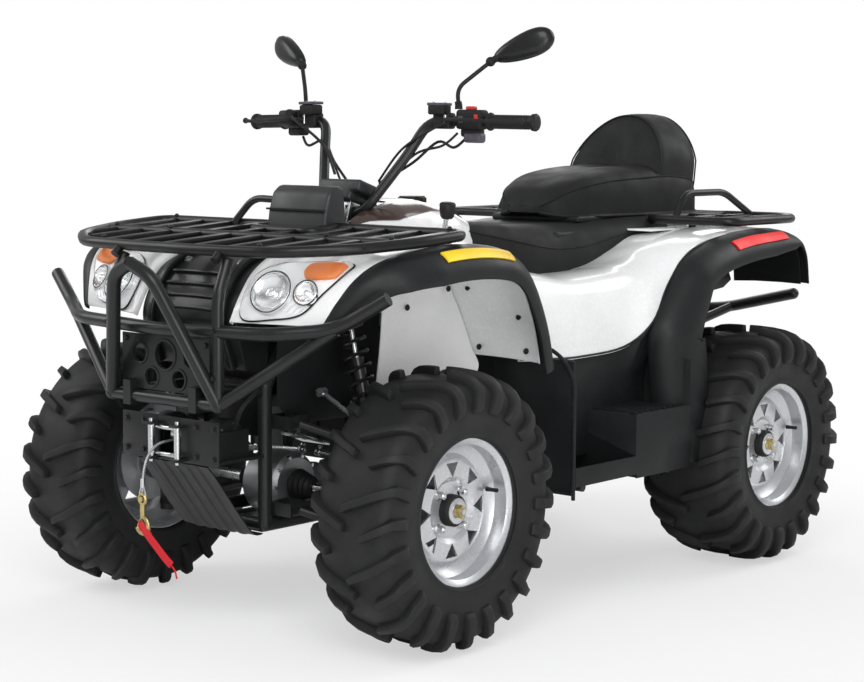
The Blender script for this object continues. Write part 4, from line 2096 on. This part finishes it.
def bellows(length, start, end, folds):
    line = [(0.0, 0.0)]
    for k in range(folds * 2 + 1):
        t = k / (folds * 2)
        radius = start + (end - start) * t
        line.append((length * (0.04 + 0.92 * t), radius * (1.0 if k % 2 else 0.84)))
    line += [(length, end * 0.84), (length, 0.0)]
    return line


def addDrive():
    casting, steel, boots = bmesh.new(), bmesh.new(), bmesh.new()
    z = 0.310
    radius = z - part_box("drive_line")[0][2]
    for y, inward in ((-0.635, 1), (0.635, -1)):
        addTurned(casting, bothEnds((0.056, 0.0), (0.056, radius * 0.82),
                                    (0.046, radius * 0.96), (0.010, radius)),
                  (0, y, z), (1, 0, 0), 48)
        addTurned(casting, [(0.0, 0.0), (0.0, 0.042), (0.085, 0.042), (0.095, 0.036),
                            (0.124, 0.032), (0.130, 0.026), (0.130, 0.0)], (0, y, z),
                  (0, inward, 0), 36)
        for spot in ringSpots((0.047, y, z), radius * 0.88, 10):
            addRod(steel, spot, spot + Vector((0.010, 0, 0)), 0.0045, sides=6)
        for side in (1, -1):
            outer = 0.357 if y < 0 else 0.3457
            addRod(steel, (side * 0.050, y, z), (side * outer, y, z), 0.0125, sides=24)
            addTurned(boots, bellows(0.056, 0.040, 0.024, 4), (side * 0.056, y, z),
                      (side, 0, 0), 36)
            addTurned(boots, bellows(0.060, 0.021, 0.032, 4), (side * (outer - 0.079), y, z),
                      (side, 0, 0), 36)
    addRod(steel, (0, -0.540, z), (0, -0.3003, z), 0.0145, sides=24)
    addRod(steel, (0, 0.2003, z), (0, 0.540, z), 0.0145, sides=24)
    for y in (-0.515, -0.325, 0.225, 0.515):
        addTurned(steel, bothEnds((0.016, 0.0), (0.016, 0.021)), (0, y, z), (0, 1, 0), 24)
    for bm in (casting, steel, boots):
        merged(bm)
    keepAll("drive_line", {
        "finalDrives": (casting, "castAlloy"), "driveShafts": (steel, "machined"),
        "driveBoots": (boots, "bootRubber"),
    }, smooth=35)


def addEngine():
    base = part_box("engine")[0][2]
    case, fins, bolts, dark = bmesh.new(), bmesh.new(), bmesh.new(), bmesh.new()
    joined(case, roundBox((-0.092, -0.292, base), (0.092, 0.192, 0.420), 0.020, 4))
    joined(case, roundBox((-0.070, -0.210, 0.400), (0.070, 0.020, 0.470), 0.015, 3))
    for side in (1, -1):
        addTurned(case, [(0.080, 0.0), (0.080, 0.086), (0.094, 0.084), (0.099, 0.074),
                         (0.100, 0.0)], (0, -0.150, 0.330), (side, 0, 0), 48)
        addTurned(case, [(0.080, 0.0), (0.080, 0.066), (0.093, 0.064), (0.098, 0.054),
                         (0.0985, 0.0)], (0, 0.085, 0.335), (side, 0, 0), 48)
        for y, z, reach, count in ((-0.150, 0.330, 0.080, 9), (0.085, 0.335, 0.060, 7)):
            for spot in ringSpots((side * 0.090, y, z), reach, count):
                addRod(bolts, spot, spot + Vector((side * 0.007, 0, 0)), 0.004, sides=6)
    for k in range(9):
        z = 0.478 + 0.012 * k
        joined(fins, roundBox((-0.078, -0.205, z), (0.078, 0.010, z + 0.0045), 0.0012, 2))
    joined(fins, roundBox((-0.060, -0.180, 0.460), (0.060, -0.012, 0.590), 0.010, 3))
    joined(fins, roundBox((-0.072, -0.198, 0.586), (0.072, 0.004, 0.638), 0.012, 3))
    joined(dark, roundBox((-0.045, 0.040, 0.430), (0.045, 0.150, 0.520), 0.014, 3))
    addRod(dark, (0, 0.095, 0.500), (0, 0.170, 0.590), 0.026, 0.030, 32)
    joined(dark, roundBox((-0.080, 0.110, 0.560), (0.080, 0.197, 0.638), 0.016, 3))
    merged(case)
    keepAll("engine", {"engineCases": (case, "castAlloy"), "engineBarrel": (fins, "darkCast")},
            smooth=35, recalc=False)
    keep(bolts, "engineBolts", "machined", stands=("engine",), recalc=False)
    keep(dark, "airBox", "mouldedBlack", stands=("engine",), smooth=35, recalc=False)


def addExhaust():
    bm, hole = bmesh.new(), bmesh.new()
    addTurned(bm, [(0.0, 0.0), (0.0, 0.040), (0.008, 0.052), (0.018, 0.057), (0.480, 0.057),
                   (0.490, 0.053), (0.497, 0.042), (0.4975, 0.0)], (0, 0.431, 0.640), (0, 1, 0),
              48)
    addTube(bm, [(0, 0.2005, 0.560), (0, 0.262, 0.560), (0, 0.440, 0.636)], 0.0185, 0.05, 24)
    for y in (0.520, 0.780):
        addSpun(bm, bothEnds((0.011, 0.0565), (0.011, 0.0578)), (0, y, 0.640), (0, 1, 0), 48)
    addSpun(bm, [(-0.002, 0.016), (-0.002, 0.021), (0.0015, 0.021), (0.0015, 0.016)],
            (0, 0.9275, 0.640), (0, 1, 0), 32)
    merged(bm)
    keep(bm, "exhaustSilencer", "exhaustSteel", stands=("exhaust",), smooth=35)
    addRod(hole, (0, 0.9270, 0.640), (0, 0.9292, 0.640), 0.0158, sides=32)
    joined(hole, roundBox((-0.012, 0.775, 0.574), (0.012, 0.797, 0.600), 0.002, 2))
    keep(hole, "exhaustOutlet", "cowlBlack", stands=("exhaust",), recalc=False)


def addRearBumper():
    bm = bmesh.new()
    y = 1.0836
    addTube(bm, [(-0.370, y - 0.030, 0.672), (-0.110, y, 0.612), (0.110, y, 0.612),
                 (0.370, y - 0.030, 0.672)], 0.0160, 0.07, 20)
    for side in (1, -1):
        addTube(bm, [(side * 0.160, y - 0.006, 0.624), (side * 0.110, 0.930, 0.575),
                     (side * 0.110, 0.817, 0.560)], 0.0128, 0.05, 18)
        addBall(bm, (side * 0.372, y - 0.0302, 0.6725), 0.0158)
    keep(bm, "rearBumperTube", "tubePaint", stands=("rear_bumper",), recalc=False)
    addSoftPlate()


def addSoftPlate():
    # the tow plate keeps the CAD's exact hole
    bm = copyOf("rear_bumper")
    gone = [v for v in bm.verts if v.co.z >= 0.401]
    bmesh.ops.delete(bm, geom=gone, context="VERTS")
    faced(bm)
    softEdges(bm, 0.0012, 2, 40)
    keep(bm, "towPlate", "framePaint", stands=("rear_bumper",))


def addGearLever():
    bm, knob = bmesh.new(), bmesh.new()
    addTube(bm, [(0.149, -0.262, 0.758), (0.170, -0.268, 0.800), (0.225, -0.300, 0.930)],
            0.0062, 0.04, 16)
    addTurned(knob, [(-0.020, 0.0), (-0.020, 0.012), (-0.014, 0.0165), (0.000, 0.0190),
                     (0.014, 0.0195), (0.018, 0.0165), (0.0195, 0.010), (0.020, 0.0)],
              (0.227, -0.301, 0.940), (0.10, -0.06, 1), 36)
    addSpun(bm, [(-0.004, 0.006), (-0.004, 0.017), (0.004, 0.013), (0.004, 0.006)],
            (0.152, -0.263, 0.766), (0.3, -0.1, 1), 24)
    keep(bm, "gearStem", "machined", stands=("gear_lever",))
    keep(knob, "gearKnob", "grip", stands=("gear_lever",), smooth=50)


frontPanels = {
    "skid": [(-0.800, 0.2285), (-0.828, 0.2330), (-0.870, 0.2800), (-0.935, 0.3640),
             (-0.960, 0.3930), (-0.968, 0.4000)],
    "half": 0.112,
    "ribs": (-0.070, -0.035, 0.0, 0.035, 0.070),
    "splash": (0.104, -0.776, 0.440, 0.830),
    "side": (0.142, -0.786, -0.450, 0.470, 0.800),
}


def addFrontPanels():
    # bash plate up to the winch, and the black splash panels behind the bumper
    bm = bmesh.new()
    half = frontPanels["half"]
    spots = []
    for i in range(33):
        spot, out = sideSpot(frontPanels["skid"], i / 32)
        pressed = min(1, i / 5, (32 - i) / 5)
        row = []
        for k in range(73):
            x = half * (k / 36 - 1)
            near = min(abs(x - rib) for rib in frontPanels["ribs"])
            lift = 0.0025 * pressed * max(0, min(1, (0.010 - near) / 0.004))
            row.append(Vector((x, spot.y, spot.z)) + out * lift)
        spots.append(row)
    shell(bm, spots, 0.003)
    keep(bm, "frontBashPlate", "framePaint", stands=("skid_plate",), smooth=50)
    splash = bmesh.new()
    half, y, low, high = frontPanels["splash"]
    joined(splash, roundBox((-half, y, low), (half, y + 0.004, high), 0.0015, 2))
    x, front, back, low, high = frontPanels["side"]
    for side in (1, -1):
        part = bmesh.new()
        outline = [(front, high), (front, low + 0.05), (front + 0.05, low), (back - 0.04, low),
                   (back, low + 0.04), (back, high)]
        addProfile(part, outline, side * x, side * (x + 0.004))
        faced(part)
        softEdges(part, 0.0012, 2)
        joined(splash, part)
    keep(splash, "splashPanels", "mouldedBlack", stands=("nose_cowl",), recalc=False)


def addFrameDetail():
    addSoftCopy("frameTubes", "frame", "framePaint", width=0.0012)
    addSoftCopy("skidPanel", "skid_plate", "machined", width=0.0012)
    addSoftCopy("wishbones", "suspension_arms", "framePaint", width=0.0012)
    addSoftCopy("rearUprightCastings", "rear_uprights", "darkCast", width=0.002)
    addSoftCopy("steeringShaft", "steering_column", "machined", "steering", 0.0015)
    for side in ("left", "right"):
        addSoftCopy(f"{side}Knuckle", f"knuckle_{side}", "darkCast", f"front_{side}_knuckle",
                    0.002)
        addSoftCopy(f"{side}TieRod", f"tie_rod_{side}", "machined", f"{side}_tie_rod", 0.001)


addWinch()
addShocks()
addArmDetail()
addDrive()
addEngine()
addExhaust()
addRearBumper()
addGearLever()
addFrontPanels()
addFrameDetail()
print("chassis made")

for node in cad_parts.values():
    if not node.hide_render:
        node.data.materials.clear()
        node.data.materials.append(materials["framePaint"])

print("finished")
